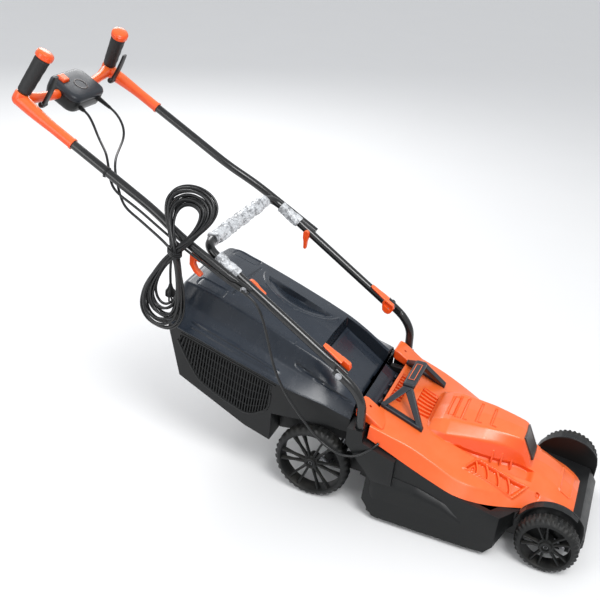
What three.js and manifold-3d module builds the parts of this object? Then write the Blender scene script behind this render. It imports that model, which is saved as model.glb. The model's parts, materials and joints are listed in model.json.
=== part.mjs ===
// Corded rotary lawn mower with a folding handle, a rear grass box and central height adjustment.
// Millimetres, +Z up. The front faces -Y and the operator's left is +X. Pieces are placed with y
// measured from the front axle and z from the ground; the last lines centre the whole on its base.
import * as THREE from "three";
import { mergeVertices } from "three/addons/utils/BufferGeometryUtils.js";
import Module from "manifold-3d";

// Driving dimensions.
const GAP = 0.35;
const SIDES = 8;
const WHEELBASE = 590;
const TRACK_OUTER = 210;
const FRONT_WHEEL_R = 75;
const REAR_WHEEL_R = 98;
const WHEEL_WIDTH = 43;
const AXLE_R = 5;
const CRANK_R = 45;
const CRANK_SWING = 33.7;
const CRANK_INSET = 9;
const LINK_ARM_R = 24;
const LINK_X = 105;
const CUT_RADIUS = 190;
const BLADE_Y = 262;
const BLADE_Z = 22;
const BLADE_THICKNESS = 3;
const CHAMBER_CLEARANCE = 8;
const CHAMBER_ROOF = 62;
const ROOF_THICKNESS = 6;
const SKIRT_HALF = 222;
const NOSE_HALF = 150;
const MOTOR_R = 58;
const MOTOR_HEIGHT = 92;
const COVER_WALL = 4;
const CHUTE_HALF = 90;
const TUBE_R = 11;
const BOLT_R = 4.2;
const STUB_X = 205;
const LEG_X = 191.2;
const LAP_X = 198;
const LAP_R = 36;
const LOWER_JOINT = [542, 375];
const UPPER_JOINT = [795, 533];
const FRAME_SLOPE = 32;
const FRAME_LENGTH = 438.5;
const HANDLE_SLOPE = 27.8;
const HANDLE_LENGTH = 711;
const SLEEVE_START = 537;
const GRIP_TUBE_X = 197;
const CORNER_X = 190;
const GRIP_LENGTH = 133;
const GRIP_R = 17;
const GRIP_LEAN = 13;
const WRAP_R = 17.5;
const SWITCH_HALF = 68;
const SWITCH_LENGTH = 100;
const BOX_FRONT = 508;
const BOX_REAR = 1010;
const BOX_HALF = 203;
const BOX_WALL = 4;
const GUARD_HALF = 104;
const GUARD_LENGTH = 184;
const GUARD_SLOPE = 33;
const GUARD_HINGE = [474, 227];
const LEAD_R = 3.25;

// Colours of the materials.
const ORANGE = 0xf2602a;
const BLACK = 0x1d1f20;
const NAVY = 0x2c333d;
const RUBBER = 0x17181a;
const STEEL = 0x8d9196;
const WRAP_WHITE = 0xd9dcdd;

const wasm = await Module();
wasm.setup();

const radians = THREE.MathUtils.degToRad;
const cosine = (degrees) => Math.cos(radians(degrees));
const sine = (degrees) => Math.sin(radians(degrees));

// A closed geometry as a manifold solid, turned the right way out if a mirror turned it inside out.
function toSolid(geometry) {
  const bare = geometry.clone();
  bare.deleteAttribute("normal");
  bare.deleteAttribute("uv");
  const merged = mergeVertices(bare, 1e-4);
  const vertProperties = new Float32Array(merged.attributes.position.array);
  const triVerts = new Uint32Array(merged.index.array);
  if (signedVolume(vertProperties, triVerts) < 0) {
    triVerts.reverse();
  }
  return new wasm.Manifold(new wasm.Mesh({ numProp: 3, vertProperties, triVerts }));
}

function signedVolume(vertices, triangles) {
  const corners = [new THREE.Vector3(), new THREE.Vector3(), new THREE.Vector3()];
  let volume = 0;
  for (let i = 0; i < triangles.length; i += 3) {
    corners.forEach((corner, k) => corner.fromArray(vertices, 3 * triangles[i + k]));
    volume += corners[0].dot(corners[1].cross(corners[2])) / 6;
  }
  return volume;
}

function toGeometry(solid) {
  const mesh = solid.getMesh();
  const geometry = new THREE.BufferGeometry();
  geometry.setAttribute("position", new THREE.BufferAttribute(mesh.vertProperties, 3));
  geometry.setIndex(new THREE.BufferAttribute(mesh.triVerts, 1));
  geometry.computeVertexNormals();
  return geometry;
}

// The corner radius of a many-sided bore whose flats clear a rod of this radius.
const boreFor = (radius) => (radius + GAP) / Math.cos(Math.PI / SIDES);

const joined = (...solids) => solids.reduce((sum, solid) => sum.add(solid));
const mirrored = (solid) => toSolid(toGeometry(solid).scale(-1, 1, 1));
const onSide = (solid, side) => (side > 0 ? solid : mirrored(solid));

function block(x0, x1, y0, y1, z0, z1) {
  const geometry = new THREE.BoxGeometry(x1 - x0, y1 - y0, z1 - z0);
  return toSolid(geometry.translate((x0 + x1) / 2, (y0 + y1) / 2, (z0 + z1) / 2));
}

const outline = (points) => new THREE.Shape(points.map(([u, v]) => new THREE.Vector2(u, v)));

// A side view, as [y, z] points, carried across from x0 to x1.
function sideExtrusion(points, x0, x1) {
  const geometry = new THREE.ExtrudeGeometry(outline(points), { depth: x1 - x0, bevelEnabled: false });
  const axes = new THREE.Matrix4().set(0, 0, 1, x0, 1, 0, 0, 0, 0, 1, 0, 0, 0, 0, 0, 1);
  return toSolid(geometry.applyMatrix4(axes));
}

// A plan view, as [x, y] points, carried up from z0 to z1.
function planExtrusion(points, z0, z1) {
  const geometry = new THREE.ExtrudeGeometry(outline(points), { depth: z1 - z0, bevelEnabled: false });
  return toSolid(geometry.translate(0, 0, z1 > z0 ? z0 : z1));
}

// A solid of revolution about an axis along X through (y, z); the profile is [radius, x] points.
function turnedX(profile, y, z, segments = SIDES) {
  const points = profile.map(([r, x]) => new THREE.Vector2(r, x));
  const geometry = new THREE.LatheGeometry(points, segments);
  return toSolid(geometry.rotateZ(-Math.PI / 2).translate(0, y, z));
}

// A solid of revolution about a vertical axis through (x, y); the profile is [radius, z] points.
function turnedZ(profile, x, y, segments = SIDES) {
  const points = profile.map(([r, z]) => new THREE.Vector2(r, z));
  const geometry = new THREE.LatheGeometry(points, segments);
  return toSolid(geometry.rotateX(Math.PI / 2).translate(x, y, 0));
}

const rodX = (radius, x0, x1, y, z, sides = SIDES) =>
  turnedX([[0, x0], [radius, x0], [radius, x1], [0, x1]], y, z, sides);

// A solid between plane rings with the same number of points, closed at both ends.
function loft(rings) {
  const count = rings[0].length;
  const positions = rings.flat().flatMap((point) => point);
  const index = [];
  for (let ring = 0; ring < rings.length - 1; ring += 1) {
    for (let i = 0; i < count; i += 1) {
      const a = ring * count + i;
      const b = ring * count + ((i + 1) % count);
      index.push(a, b, b + count, a, b + count, a + count);
    }
  }
  const last = (rings.length - 1) * count;
  for (let i = 1; i < count - 1; i += 1) {
    index.push(0, i + 1, i, last, last + i, last + i + 1);
  }
  const geometry = new THREE.BufferGeometry();
  geometry.setAttribute("position", new THREE.Float32BufferAttribute(positions, 3));
  geometry.setIndex(index);
  return toSolid(geometry);
}

// A ring across the machine at y, from half its points as [half width, z], lowest first.
function crossRing(y, half) {
  const right = half.map(([w, z]) => [w, y, z]);
  const left = half.filter(([w]) => w > 0).map(([w, z]) => [-w, y, z]);
  return [...right, ...left.reverse()];
}

// The path of a bent rod: straight runs joined by short bends.
class RodPath extends THREE.Curve {
  constructor(points) {
    super();
    this.points = points;
  }

  getPoint(t) {
    const place = t * (this.points.length - 1);
    const first = Math.min(Math.floor(place + 1e-6), this.points.length - 2);
    return this.points[first].clone().lerp(this.points[first + 1], place - first);
  }

  getPointAt(u) {
    return this.getPoint(u);
  }

  getTangentAt(u) {
    const i = Math.round(u * (this.points.length - 1));
    const before = this.points[Math.max(i - 1, 0)];
    const after = this.points[Math.min(i + 1, this.points.length - 1)];
    const here = this.points[i];
    const inward = here.clone().sub(before).normalize();
    const outward = after.clone().sub(here).normalize();
    return inward.add(outward).normalize();
  }
}

function bentPoints(corners, bend, steps) {
  const points = corners.map((corner) => new THREE.Vector3(...corner));
  const path = [points[0]];
  for (let i = 1; i < points.length - 1; i += 1) {
    const inward = points[i - 1].clone().sub(points[i]);
    const outward = points[i + 1].clone().sub(points[i]);
    const reach = Math.min(bend, inward.length() / 2.1, outward.length() / 2.1);
    const start = points[i].clone().addScaledVector(inward.normalize(), reach);
    const end = points[i].clone().addScaledVector(outward.normalize(), reach);
    path.push(...new THREE.QuadraticBezierCurve3(start, points[i], end).getPoints(steps));
  }
  path.push(points[points.length - 1]);
  return path;
}

function sweep(path, section) {
  const options = { steps: path.length - 1, bevelEnabled: false, extrudePath: new RodPath(path) };
  return toSolid(new THREE.ExtrudeGeometry(outline(section), options));
}

function roundSection(radius, sides = SIDES) {
  const step = (2 * Math.PI) / sides;
  return Array.from({ length: sides }, (_, i) => [radius * Math.cos(i * step), radius * Math.sin(i * step)]);
}

const tube = (corners, radius, bend = 22, steps = 4, sides = SIDES) =>
  sweep(bentPoints(corners, bend, steps), roundSection(radius, sides));

// Points along an inclined line in the side view: distance along it and height square to it.
const inclined = ([y, z], slope) => (along, up = 0) => [
  y + along * cosine(slope) - up * sine(slope),
  z + along * sine(slope) + up * cosine(slope),
];
const onFrame = inclined(LOWER_JOINT, FRAME_SLOPE);
const onHandle = inclined(UPPER_JOINT, HANDLE_SLOPE);
const onGuard = inclined(GUARD_HINGE, GUARD_SLOPE);

const model = new THREE.Group();
const cords = new Set(["mains_lead", "mains_hank", "mains_plug", "motor_cable_upper", "motor_cable_lower"]);

function addPart(name, solid, color, roughness, metalness = 0) {
  const material = new THREE.MeshStandardMaterial({ color, roughness, metalness });
  const mesh = new THREE.Mesh(toGeometry(solid), material);
  mesh.name = name;
  model.add(mesh);
}

// Wheels.

const axleRest = [CRANK_R * cosine(CRANK_SWING), CRANK_R * sine(CRANK_SWING)];
const frontAxle = { y: 0, z: FRONT_WHEEL_R, r: FRONT_WHEEL_R };
const rearAxle = { y: WHEELBASE, z: REAR_WHEEL_R, r: REAR_WHEEL_R };
const pivotOf = (axle) => [axle.y - axleRest[0], axle.z - axleRest[1]];

function wheel(axle) {
  const inner = TRACK_OUTER - WHEEL_WIDTH;
  const outer = TRACK_OUTER;
  const bore = AXLE_R + 1;
  const hub = 15;
  const rim = axle.r - 15;
  const web = outer - 14;
  const profile = [
    [0, outer - 3], [bore, outer - 3], [bore, inner], [hub, inner], [hub, web], [rim, web],
    [rim, inner + 2], [axle.r - 4, inner + 2], [axle.r, inner + 7], [axle.r, outer - 9],
    [axle.r - 6, outer - 2], [rim, outer - 2], [rim, web + 7], [hub, web + 7], [hub, outer], [0, outer],
  ];
  let solid = turnedX(profile, axle.y, axle.z, 16);
  const spokes = 6;
  for (let i = 0; i < spokes; i += 1) {
    solid = solid.subtract(spokeWindow(axle, hub + 6, rim - 5, (360 / spokes) * i, 360 / spokes));
  }
  return solid;
}

function spokeWindow(axle, inside, outside, turn, pitch) {
  const at = (radius, angle) => [axle.y + radius * cosine(angle), axle.z + radius * sine(angle)];
  const corners = [
    at(inside, turn + pitch * 0.3), at(outside, turn + pitch * 0.16), at(outside + 3, turn + pitch * 0.5),
    at(outside, turn + pitch * 0.84), at(inside, turn + pitch * 0.7),
  ];
  return sideExtrusion(corners, TRACK_OUTER - WHEEL_WIDTH, TRACK_OUTER + 1);
}

// Cranked axle rods, the link between them and the height lever.

function axleRod(axle, crankX) {
  const [pivotY, pivotZ] = pivotOf(axle);
  const end = TRACK_OUTER - 4;
  const half = [[end, axle.y, axle.z], [crankX, axle.y, axle.z], [crankX, pivotY, pivotZ]];
  const corners = [...half, ...half.map(([x, y, z]) => [-x, y, z]).reverse()];
  const swing = 90 + CRANK_SWING;
  const arm = [[-6, 0], [-6, LINK_ARM_R + 6], [6, LINK_ARM_R + 6], [6, 0]].map(([across, along]) => [
    pivotY + along * cosine(swing) + across * sine(swing),
    pivotZ + along * sine(swing) - across * cosine(swing),
  ]);
  const [pinY, pinZ] = linkPin(axle);
  return joined(
    tube(corners, AXLE_R, 10, 3, 8),
    sideExtrusion(arm, LINK_X - 10, LINK_X - 4.5),
    rodX(3.4, LINK_X - 6, LINK_X + 5, pinY, pinZ, 10),
  );
}

function linkPin(axle) {
  const [pivotY, pivotZ] = pivotOf(axle);
  const swing = 90 + CRANK_SWING;
  return [pivotY + LINK_ARM_R * cosine(swing), pivotZ + LINK_ARM_R * sine(swing)];
}

function linkRod() {
  const [frontY, frontZ] = linkPin(frontAxle);
  const [rearY, rearZ] = linkPin(rearAxle);
  const x0 = LINK_X - 4;
  const x1 = LINK_X + 1;
  const bar = sideExtrusion([
    [frontY, frontZ - 4], [rearY, rearZ - 4], [rearY, rearZ + 4], [frontY, frontZ + 4],
  ], x0, x1);
  const eyes = joined(rodX(6.8, x0, x1, frontY, frontZ, 10), rodX(6.8, x0, x1, rearY, rearZ, 10));
  const holes = joined(
    rodX(4.4, x0 - 1, x1 + 1, frontY, frontZ, 10),
    rodX(4.4, x0 - 1, x1 + 1, rearY, rearZ, 10),
  );
  return joined(bar, eyes).subtract(holes);
}

const CRANK_X = TRACK_OUTER - WHEEL_WIDTH - CRANK_INSET;
const LEVER_LENGTH = 104;
const LEVER_ANGLE = 140;
const LEVER_X = CRANK_X - AXLE_R - 5;

function leverEnd() {
  const [y, z] = pivotOf(rearAxle);
  return [y + LEVER_LENGTH * cosine(LEVER_ANGLE), z + LEVER_LENGTH * sine(LEVER_ANGLE)];
}

function heightLever() {
  const [pivotY, pivotZ] = pivotOf(rearAxle);
  const onLever = inclined([pivotY, pivotZ], LEVER_ANGLE);
  const arm = sideExtrusion(
    [onLever(0, -6), onLever(LEVER_LENGTH, -5), onLever(LEVER_LENGTH, 5), onLever(0, 6)],
    LEVER_X - 7, LEVER_X,
  );
  const hub = rodX(12, LEVER_X - 7, LEVER_X, pivotY, pivotZ);
  const head = rodX(9, LEVER_X - 7, LEVER_X, ...leverEnd());
  return joined(arm, hub, head).subtract(rodX(boreFor(AXLE_R), 0, TRACK_OUTER, pivotY, pivotZ));
}

function heightKnob() {
  const x0 = LEVER_X + GAP;
  const profile = [[0, x0], [8, x0], [8, x0 + 6], [11, x0 + 12], [11, x0 + 30], [7, x0 + 36], [0, x0 + 36]];
  return turnedX(profile, ...leverEnd());
}

// Deck: a skirted blade chamber, a nose over the front axle, posts for the handle and a rear chute.

const CHAMBER_R = CUT_RADIUS + CHAMBER_CLEARANCE;
const ROOF_TOP = CHAMBER_ROOF + ROOF_THICKNESS;
const SKIRT_BOTTOM = 13;
const DECK_REAR = 476;

function drum() {
  const front = BLADE_Y - CHAMBER_R - 8;
  const profile = [
    [front, 66], [96, 60], [134, SKIRT_BOTTOM], [414, SKIRT_BOTTOM], [446, 52], [DECK_REAR, 60],
    [DECK_REAR, 219], [452, 218], [355, 180.5], [227, 132.5], [150, 116.5], [front, 98],
  ];
  const plan = (grow) => [
    [112, front], [152 + grow * 0.3, 90], [196 + grow, 116], [200 + grow, 190], [200 + grow, 400],
    [194 + grow, 446], [HORN_X[1], 452], [HORN_X[1], DECK_REAR],
  ];
  const ring = (z, grow) => {
    const half = plan(grow).map(([x, y]) => [x, y, z]);
    return [...half, ...half.map(([x, y]) => [-x, y, z]).reverse()];
  };
  const flare = SKIRT_HALF - 200;
  const skirt = loft([ring(0, flare), ring(58, flare), ring(118, 2), ring(240, 0)]);
  return skirt.intersect(sideExtrusion(profile, -SKIRT_HALF - 5, SKIRT_HALF + 5));
}

function nose() {
  const top = [[-82, 64], [-62, 86], [-10, 93], [96, 104]];
  const side = sideExtrusion([...top, [96, 40], [-70, 36], [-82, 44]], -NOSE_HALF, NOSE_HALF);
  const corner = NOSE_HALF - 26;
  const plan = planExtrusion([
    [-NOSE_HALF, -52], [-corner, -84], [corner, -84], [NOSE_HALF, -52], [NOSE_HALF, 98], [-NOSE_HALF, 98],
  ], 0, 140);
  const inside = sideExtrusion(
    [[-76, 30], [-76, 62], [-60, 80], [58, 88], [58, 30]], -NOSE_HALF + 5, NOSE_HALF - 5,
  );
  return side.intersect(plan).subtract(inside);
}

function fender(side) {
  const arc = (radius, steps) => Array.from({ length: steps + 1 }, (_, i) => {
    const angle = 12 + (118 / steps) * i;
    return [frontAxle.y + radius * cosine(angle), frontAxle.z + radius * sine(angle)];
  });
  const clear = FRONT_WHEEL_R + 6;
  const solid = sideExtrusion([...arc(clear + 4, 8), ...arc(clear, 8).reverse()], NOSE_HALF - 6, 204);
  return onSide(solid, side);
}

function handlePost(side) {
  const profile = [
    [378, 117], [428, 117], [503, 203], [503, 246], [464, 246], [462, 217], [440, 209], [378, 188],
  ];
  return onSide(sideExtrusion(profile, 168, SKIRT_HALF), side);
}

const HORN_X = [118, 138];

function rearHorn(side) {
  const profile = [[440, 68], [576, 68], [576, 90], [520, 104], [440, 112]];
  return onSide(sideExtrusion(profile, ...HORN_X), side);
}

function axleSlot(axle) {
  const [pivotY, pivotZ] = pivotOf(axle);
  const half = AXLE_R + 0.6;
  const slot = block(-165, 165, pivotY - half, pivotY + half, 20, pivotZ);
  return slot.add(rodX(half + 0.2, -165, 165, pivotY, pivotZ));
}

function noseRibs() {
  const bottom = pivotOf(frontAxle)[1] - AXLE_R - 0.3;
  const rib = sideExtrusion([[-74, 58], [-58, bottom], [-18, bottom], [20, 80], [-40, 84]], ...HORN_X);
  return rib.add(mirrored(rib));
}

const STUB_PATH = [[474, 206], [479, 312], [503, 347], onFrame(15)];

function stubTube() {
  return tube(STUB_PATH.map(([y, z]) => [STUB_X, y, z]), TUBE_R, 26);
}

function deckShell() {
  const chamber = turnedZ(
    [[0, 0], [CHAMBER_R, 0], [CHAMBER_R, CHAMBER_ROOF - 12], [CHAMBER_R - 12, CHAMBER_ROOF], [0, CHAMBER_ROOF]],
    0, BLADE_Y, 20,
  );
  const chute = sideExtrusion(
    [[345, 30], [500, 30], [500, 200], [460, 200], [345, CHAMBER_ROOF - 8]], -CHUTE_HALF, CHUTE_HALF,
  );
  const motorBay = planExtrusion(
    [[-90, 86], [90, 86], [186, 140], [186, 325], [-186, 325], [-186, 140]], ROOF_TOP, 260,
  );
  const sideBay = block(CHUTE_HALF + 7, 186, 290, 436, ROOF_TOP, 260);
  const frontChannel = block(LINK_X - 14, LINK_X + 9, 40, 130, 62, 91);
  const rearChannel = block(LINK_X - 9, LINK_X + 9, 430, 500, 80, 116);
  const shaftHole = turnedZ([[0, 20], [13, 20], [13, 120], [0, 120]], 0, BLADE_Y);
  const stubHole = tube(STUB_PATH.slice(0, 3).map(([y, z]) => [STUB_X, y, z]), boreFor(TUBE_R), 26);
  let solid = joined(drum(), nose(), noseRibs());
  for (const side of [1, -1]) {
    solid = joined(solid, fender(side), handlePost(side), rearHorn(side));
  }
  const cuts = [chamber, chute, motorBay, sideBay, mirrored(sideBay), frontChannel, rearChannel, shaftHole,
    stubHole, mirrored(stubHole), axleSlot(frontAxle), axleSlot(rearAxle)];
  return cuts.reduce((rest, cut) => rest.subtract(cut), solid);
}

function axleClamp(axle, halfDepth) {
  const [pivotY, pivotZ] = pivotOf(axle);
  const top = pivotZ - AXLE_R - 0.7;
  return block(-HORN_X[1] - 2, HORN_X[1] + 2, pivotY - halfDepth, pivotY + halfDepth, top - 6, top);
}

// Motor cover with its raised bump and rear ears.

const COVER_STATIONS = [
  [457, [203, 222], [192, 250], [110, 264], [0, 266]],
  [355, [205, 182], [184, 222], [110, 227], [0, 229]],
  [227, [202, 134], [178, 160], [90, 192], [0, 196]],
  [150, [176, 118], [150, 140], [70, 176], [0, 182]],
  [80, [130, 105], [95, 137], [48, 163], [0, 168]],
  [-10, [95, 95], [76, 112], [40, 123], [0, 128]],
  [-42, [74, 89.5], [62, 102], [30, 106], [0, 108]],
];

const BUMP_STATIONS = [
  [335, [95, 150], [92, 228], [60, 236]],
  [290, [104, 150], [98, 226], [66, 250]],
  [200, [84, 150], [78, 226], [52, 249]],
  [112, [56, 150], [52, 206], [40, 238]],
  [82, [46, 150], [44, 162], [34, 176]],
];

function shrunk(stations, wall, floor) {
  const last = stations.length - 1;
  const onward = Math.sign(stations[last][0] - stations[0][0]) * wall;
  return stations.map(([y, ...half], i) => {
    const end = (i === 0 ? onward : 0) - (i === last ? onward : 0);
    const inner = half.map(([w, z], k) => [Math.max(w - wall * 1.4, 0), k === 0 ? floor : z - wall * 1.2]);
    return [y + end, ...inner];
  });
}

const stationLoft = (stations) => loft(stations.map(([y, ...half]) => crossRing(y, half)));

function motorCover() {
  const ear = sideExtrusion([[430, 236], [497, 258], [497, 288], [452, 268], [430, 256]], 122, 186);
  const outer = joined(stationLoft(COVER_STATIONS), stationLoft(BUMP_STATIONS), ear, mirrored(ear));
  const inner = joined(
    stationLoft(shrunk(COVER_STATIONS, COVER_WALL, 60)),
    stationLoft(shrunk(BUMP_STATIONS, COVER_WALL, 140)),
  );
  return outer.subtract(inner);
}

const CARRY_FEET = [[347, 231], [452, 268]];

function carryHandle() {
  const bar = block(-66, 66, 392, 420, 297, 311);
  let solid = bar;
  for (const side of [1, -1]) {
    const footX = 112 * side;
    solid = solid.add(tube([[footX, ...CARRY_FEET[0]], [footX, ...CARRY_FEET[1]]], 7, 1, 1, 8));
    for (const foot of CARRY_FEET) {
      solid = solid.add(tube([[footX, ...foot], [60 * side, 406, 304]], 7, 1, 1, 8));
    }
  }
  return solid.subtract(stationLoft(COVER_STATIONS.map(([y, ...half]) =>
    [y, ...half.map(([w, z], k) => [w, z + (k ? GAP * 1.5 : 0)])])));
}

// Motor, blade and what holds it.

function motorCan() {
  const z0 = ROOF_TOP + GAP;
  const z1 = z0 + MOTOR_HEIGHT;
  return turnedZ([
    [0, z1 - 5], [MOTOR_R - 16, z1 - 8], [MOTOR_R - 7, z1 - 16], [MOTOR_R - 7, z0 + 6], [12, z0 + 6],
    [12, z0], [MOTOR_R, z0], [MOTOR_R, z1 - 10], [MOTOR_R - 12, z1], [0, z1],
  ], 0, BLADE_Y, 20);
}

const HUB_Z = BLADE_Z + BLADE_THICKNESS + GAP;

function rotorShaft() {
  const rotorZ = ROOF_TOP + 18;
  return turnedZ([
    [0, HUB_Z + 8], [7, HUB_Z + 8], [7, rotorZ], [36, rotorZ], [36, rotorZ + 46], [8, rotorZ + 46],
    [8, rotorZ + 60], [0, rotorZ + 60],
  ], 0, BLADE_Y, 16);
}

function bladeCarrier() {
  const solid = turnedZ([
    [4.6, HUB_Z], [42, HUB_Z], [42, HUB_Z + 4], [18, HUB_Z + 7], [16, HUB_Z + 24], [7.6, HUB_Z + 24],
    [7.6, HUB_Z + 7.4], [4.6, HUB_Z + 7.4], [4.6, HUB_Z],
  ], 0, BLADE_Y, 16);
  return solid;
}

function blade() {
  const tip = CUT_RADIUS;
  const half = 23;
  const swept = 9;
  const plan = [
    [-tip, -half + swept], [-tip + 60, -half], [tip, -half], [tip, half - swept], [tip - 60, half], [-tip, half],
  ].map(([x, y]) => [x, y + BLADE_Y]);
  const bar = planExtrusion(plan, BLADE_Z, BLADE_Z + BLADE_THICKNESS);
  return bar.subtract(turnedZ([[0, 0], [5, 0], [5, 60], [0, 60]], 0, BLADE_Y));
}

function bladeBolt() {
  const head = BLADE_Z - GAP;
  return turnedZ([[0, head - 6], [11, head - 6], [11, head], [4, head], [4, HUB_Z + 7], [0, HUB_Z + 7]],
    0, BLADE_Y, 6 * 2);
}

// Rear guard flap, lying in the front of the grass-box lid.

function rearGuard() {
  const plate = sideExtrusion(
    [onGuard(0, -2), onGuard(GUARD_LENGTH, -2), onGuard(GUARD_LENGTH, 2), onGuard(0, 2)],
    -GUARD_HALF, GUARD_HALF,
  );
  const knuckle = rodX(6, -GUARD_HALF, GUARD_HALF, ...GUARD_HINGE);
  return joined(plate, knuckle);
}

// Grass box: a lid over an open-topped lower box with slotted side panels.

const LID_STATIONS = [
  [BOX_FRONT, [184, 247], [160, 272], [120, 284], [0, 286]],
  [572, [186, 264], [162, 288], [122, 322], [0, 326]],
  [670, [201, 291], [162, 318], [128, 366], [0, 376]],
  [840, [BOX_HALF, 338], [158, 376], [126, 424], [0, 438]],
  [975, [BOX_HALF, 375], [156, 424], [128, 462], [0, 476]],
  [BOX_REAR, [190, 385], [146, 428], [110, 452], [0, 462]],
];

function boxLid() {
  const recessEnd = GUARD_LENGTH + 5;
  const recess = sideExtrusion(
    [onGuard(20, -2.6), onGuard(recessEnd, -2.6), onGuard(recessEnd, 90), onGuard(-40, 90), onGuard(-40, -2.6)],
    -GUARD_HALF - 4, GUARD_HALF + 4,
  );
  const backing = sideExtrusion(
    [onGuard(34, -8), onGuard(recessEnd + 6, -8), onGuard(recessEnd + 6, 40), onGuard(34, 40)],
    -GUARD_HALF - 9, GUARD_HALF + 9,
  );
  const outer = stationLoft(LID_STATIONS);
  const shell = outer.subtract(stationLoft(shrunk(LID_STATIONS, BOX_WALL, 200)));
  const rim = block(-260, 260, BOX_FRONT + 1, BOX_REAR - 1, 200, 500);
  return shell.add(backing.intersect(outer).intersect(rim)).subtract(recess).intersect(aboveSplit(GAP));
}

const SPLIT_LINE = [[BOX_FRONT, 247], [572, 264], [670, 291], [840, 338], [975, 375], [BOX_REAR, 385]];

function aboveSplit(gap) {
  const line = SPLIT_LINE.map(([y, z]) => [y, z + gap]);
  const [, firstZ] = line[0];
  const [, lastZ] = line[line.length - 1];
  return sideExtrusion(
    [[BOX_FRONT - 20, firstZ - 5], ...line, [BOX_REAR + 20, lastZ + 5], [BOX_REAR + 20, 600], [BOX_FRONT - 20, 600]],
    -260, 260,
  );
}

const WHEEL_RECESS_REAR = 706;
const WHEEL_RECESS_TOP = 207;
const WHEEL_RECESS_X = 136;

function lowerBoxBody(inset) {
  const profile = [
    [BOX_FRONT - (inset ? 20 : 0), 152 + inset], [704, 126 + inset], [777, 148 + inset],
    [965 - inset, 238 + inset], [BOX_REAR - inset * 1.2, 383 + inset * 6], [840, 338 + inset * 8],
    [BOX_FRONT - (inset ? 20 : 0), 247 + inset * 8],
  ];
  const plan = [
    [184, BOX_FRONT - 30], [184, 572], [BOX_HALF, 700], [BOX_HALF, 965], [190, BOX_REAR + 10],
  ].map(([x, y]) => [x - inset, y]);
  const around = [...plan, ...plan.map(([x, y]) => [-x, y]).reverse()];
  const body = sideExtrusion(profile, -260, 260).intersect(planExtrusion(around, 60, 600));
  const recess = block(WHEEL_RECESS_X - inset, 260, BOX_FRONT - 60, WHEEL_RECESS_REAR + inset, 60,
    WHEEL_RECESS_TOP + inset);
  return body.subtract(recess).subtract(mirrored(recess));
}

function lowerBox() {
  return lowerBoxBody(0).subtract(lowerBoxBody(BOX_WALL)).subtract(aboveSplit(0)).subtract(panelHoles());
}

const PANEL = [[745, 205], [770, 182], [905, 240], [925, 310], [745, 268]];

function panelHoles() {
  const hole = sideExtrusion(PANEL, BOX_HALF - BOX_WALL - 2, BOX_HALF + 2);
  return hole.add(mirrored(hole));
}

function meshPanel(side) {
  const middle = [835, 242];
  const inset = PANEL.map(([y, z]) => [y + Math.sign(middle[0] - y) * 0.8, z + Math.sign(middle[1] - z) * 0.8]);
  let panel = sideExtrusion(inset, BOX_HALF - BOX_WALL + 0.4, BOX_HALF - 0.6);
  for (let i = 0; i < 6; i += 1) {
    const y = 768 + 24 * i;
    const slot = [[y, 206 + i * 9], [y + 10, 206 + i * 9], [y + 10, 252 + i * 7], [y, 252 + i * 7]];
    panel = panel.subtract(sideExtrusion(slot, BOX_HALF - BOX_WALL - 1, BOX_HALF + 1));
  }
  return onSide(panel, side);
}

// Folding handle: stub tubes on the deck, a U-shaped lower frame and two upper tubes.

const lapAt = (x0, x1) => rodX(LAP_R, x0, x1, ...LOWER_JOINT, 16);
const boltHole = ([y, z]) => rodX(boreFor(BOLT_R), 140, 240, y, z);

function lappedStub(side) {
  const solid = stubTube().subtract(lapAt(180, LAP_X + GAP)).subtract(boltHole(LOWER_JOINT));
  return onSide(solid, side);
}

function lowerFrame() {
  const start = onFrame(-13);
  const corner = onFrame(FRAME_LENGTH);
  const half = [[LEG_X, ...start], [LEG_X, ...corner]];
  const corners = [...half, ...half.map(([x, y, z]) => [-x, y, z]).reverse()];
  const frame = tube(corners, TUBE_R, 34, 5);
  const cut = joined(lapAt(LAP_X, 230), boltHole(LOWER_JOINT), boltHole(UPPER_JOINT));
  return frame.subtract(cut).subtract(mirrored(cut));
}

const UPPER_X = LEG_X + 2 * boreFor(TUBE_R);

function upperTube(side) {
  const points = [
    [UPPER_X, ...onHandle(-14)], [UPPER_X, ...onHandle(196)], [GRIP_TUBE_X, ...onHandle(284)],
    [GRIP_TUBE_X, ...onHandle(SLEEVE_START + 60)],
  ];
  const flat = rodX(26, UPPER_X + 6.5, 240, ...UPPER_JOINT);
  return onSide(tube(points, TUBE_R, 30).subtract(flat).subtract(boltHole(UPPER_JOINT)), side);
}

function jointBolt(joint, inside, outside, side) {
  const profile = [[0, inside], [BOLT_R, inside], [BOLT_R, outside], [8, outside], [8, outside + 4], [0, outside + 4]];
  return onSide(turnedX(profile, ...joint), side);
}

// Lower locking lever: a hub inboard of the leg with an arm lying along the top of the tube.
function lowerLever(side) {
  const x0 = LEG_X - TUBE_R - 14;
  const x1 = LEG_X - TUBE_R - GAP;
  const hub = rodX(14, x0, x1, ...LOWER_JOINT);
  const cheek = sideExtrusion([onFrame(-9, 0), onFrame(24, 0), onFrame(24, 18), onFrame(-9, 18)], x0, x1);
  const top = sideExtrusion([onFrame(-9, 17), onFrame(24, 17), onFrame(24, 20), onFrame(-9, 20)], x0, x1);
  const arm = sideExtrusion(
    [onFrame(14, TUBE_R + 0.8), onFrame(70, TUBE_R + 0.8), onFrame(76, 15), onFrame(70, 18.5), onFrame(14, 20)],
    x0, STUB_X - TUBE_R - GAP,
  );
  return onSide(joined(hub, cheek, top, arm).subtract(boltHole(LOWER_JOINT)), side);
}

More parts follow.
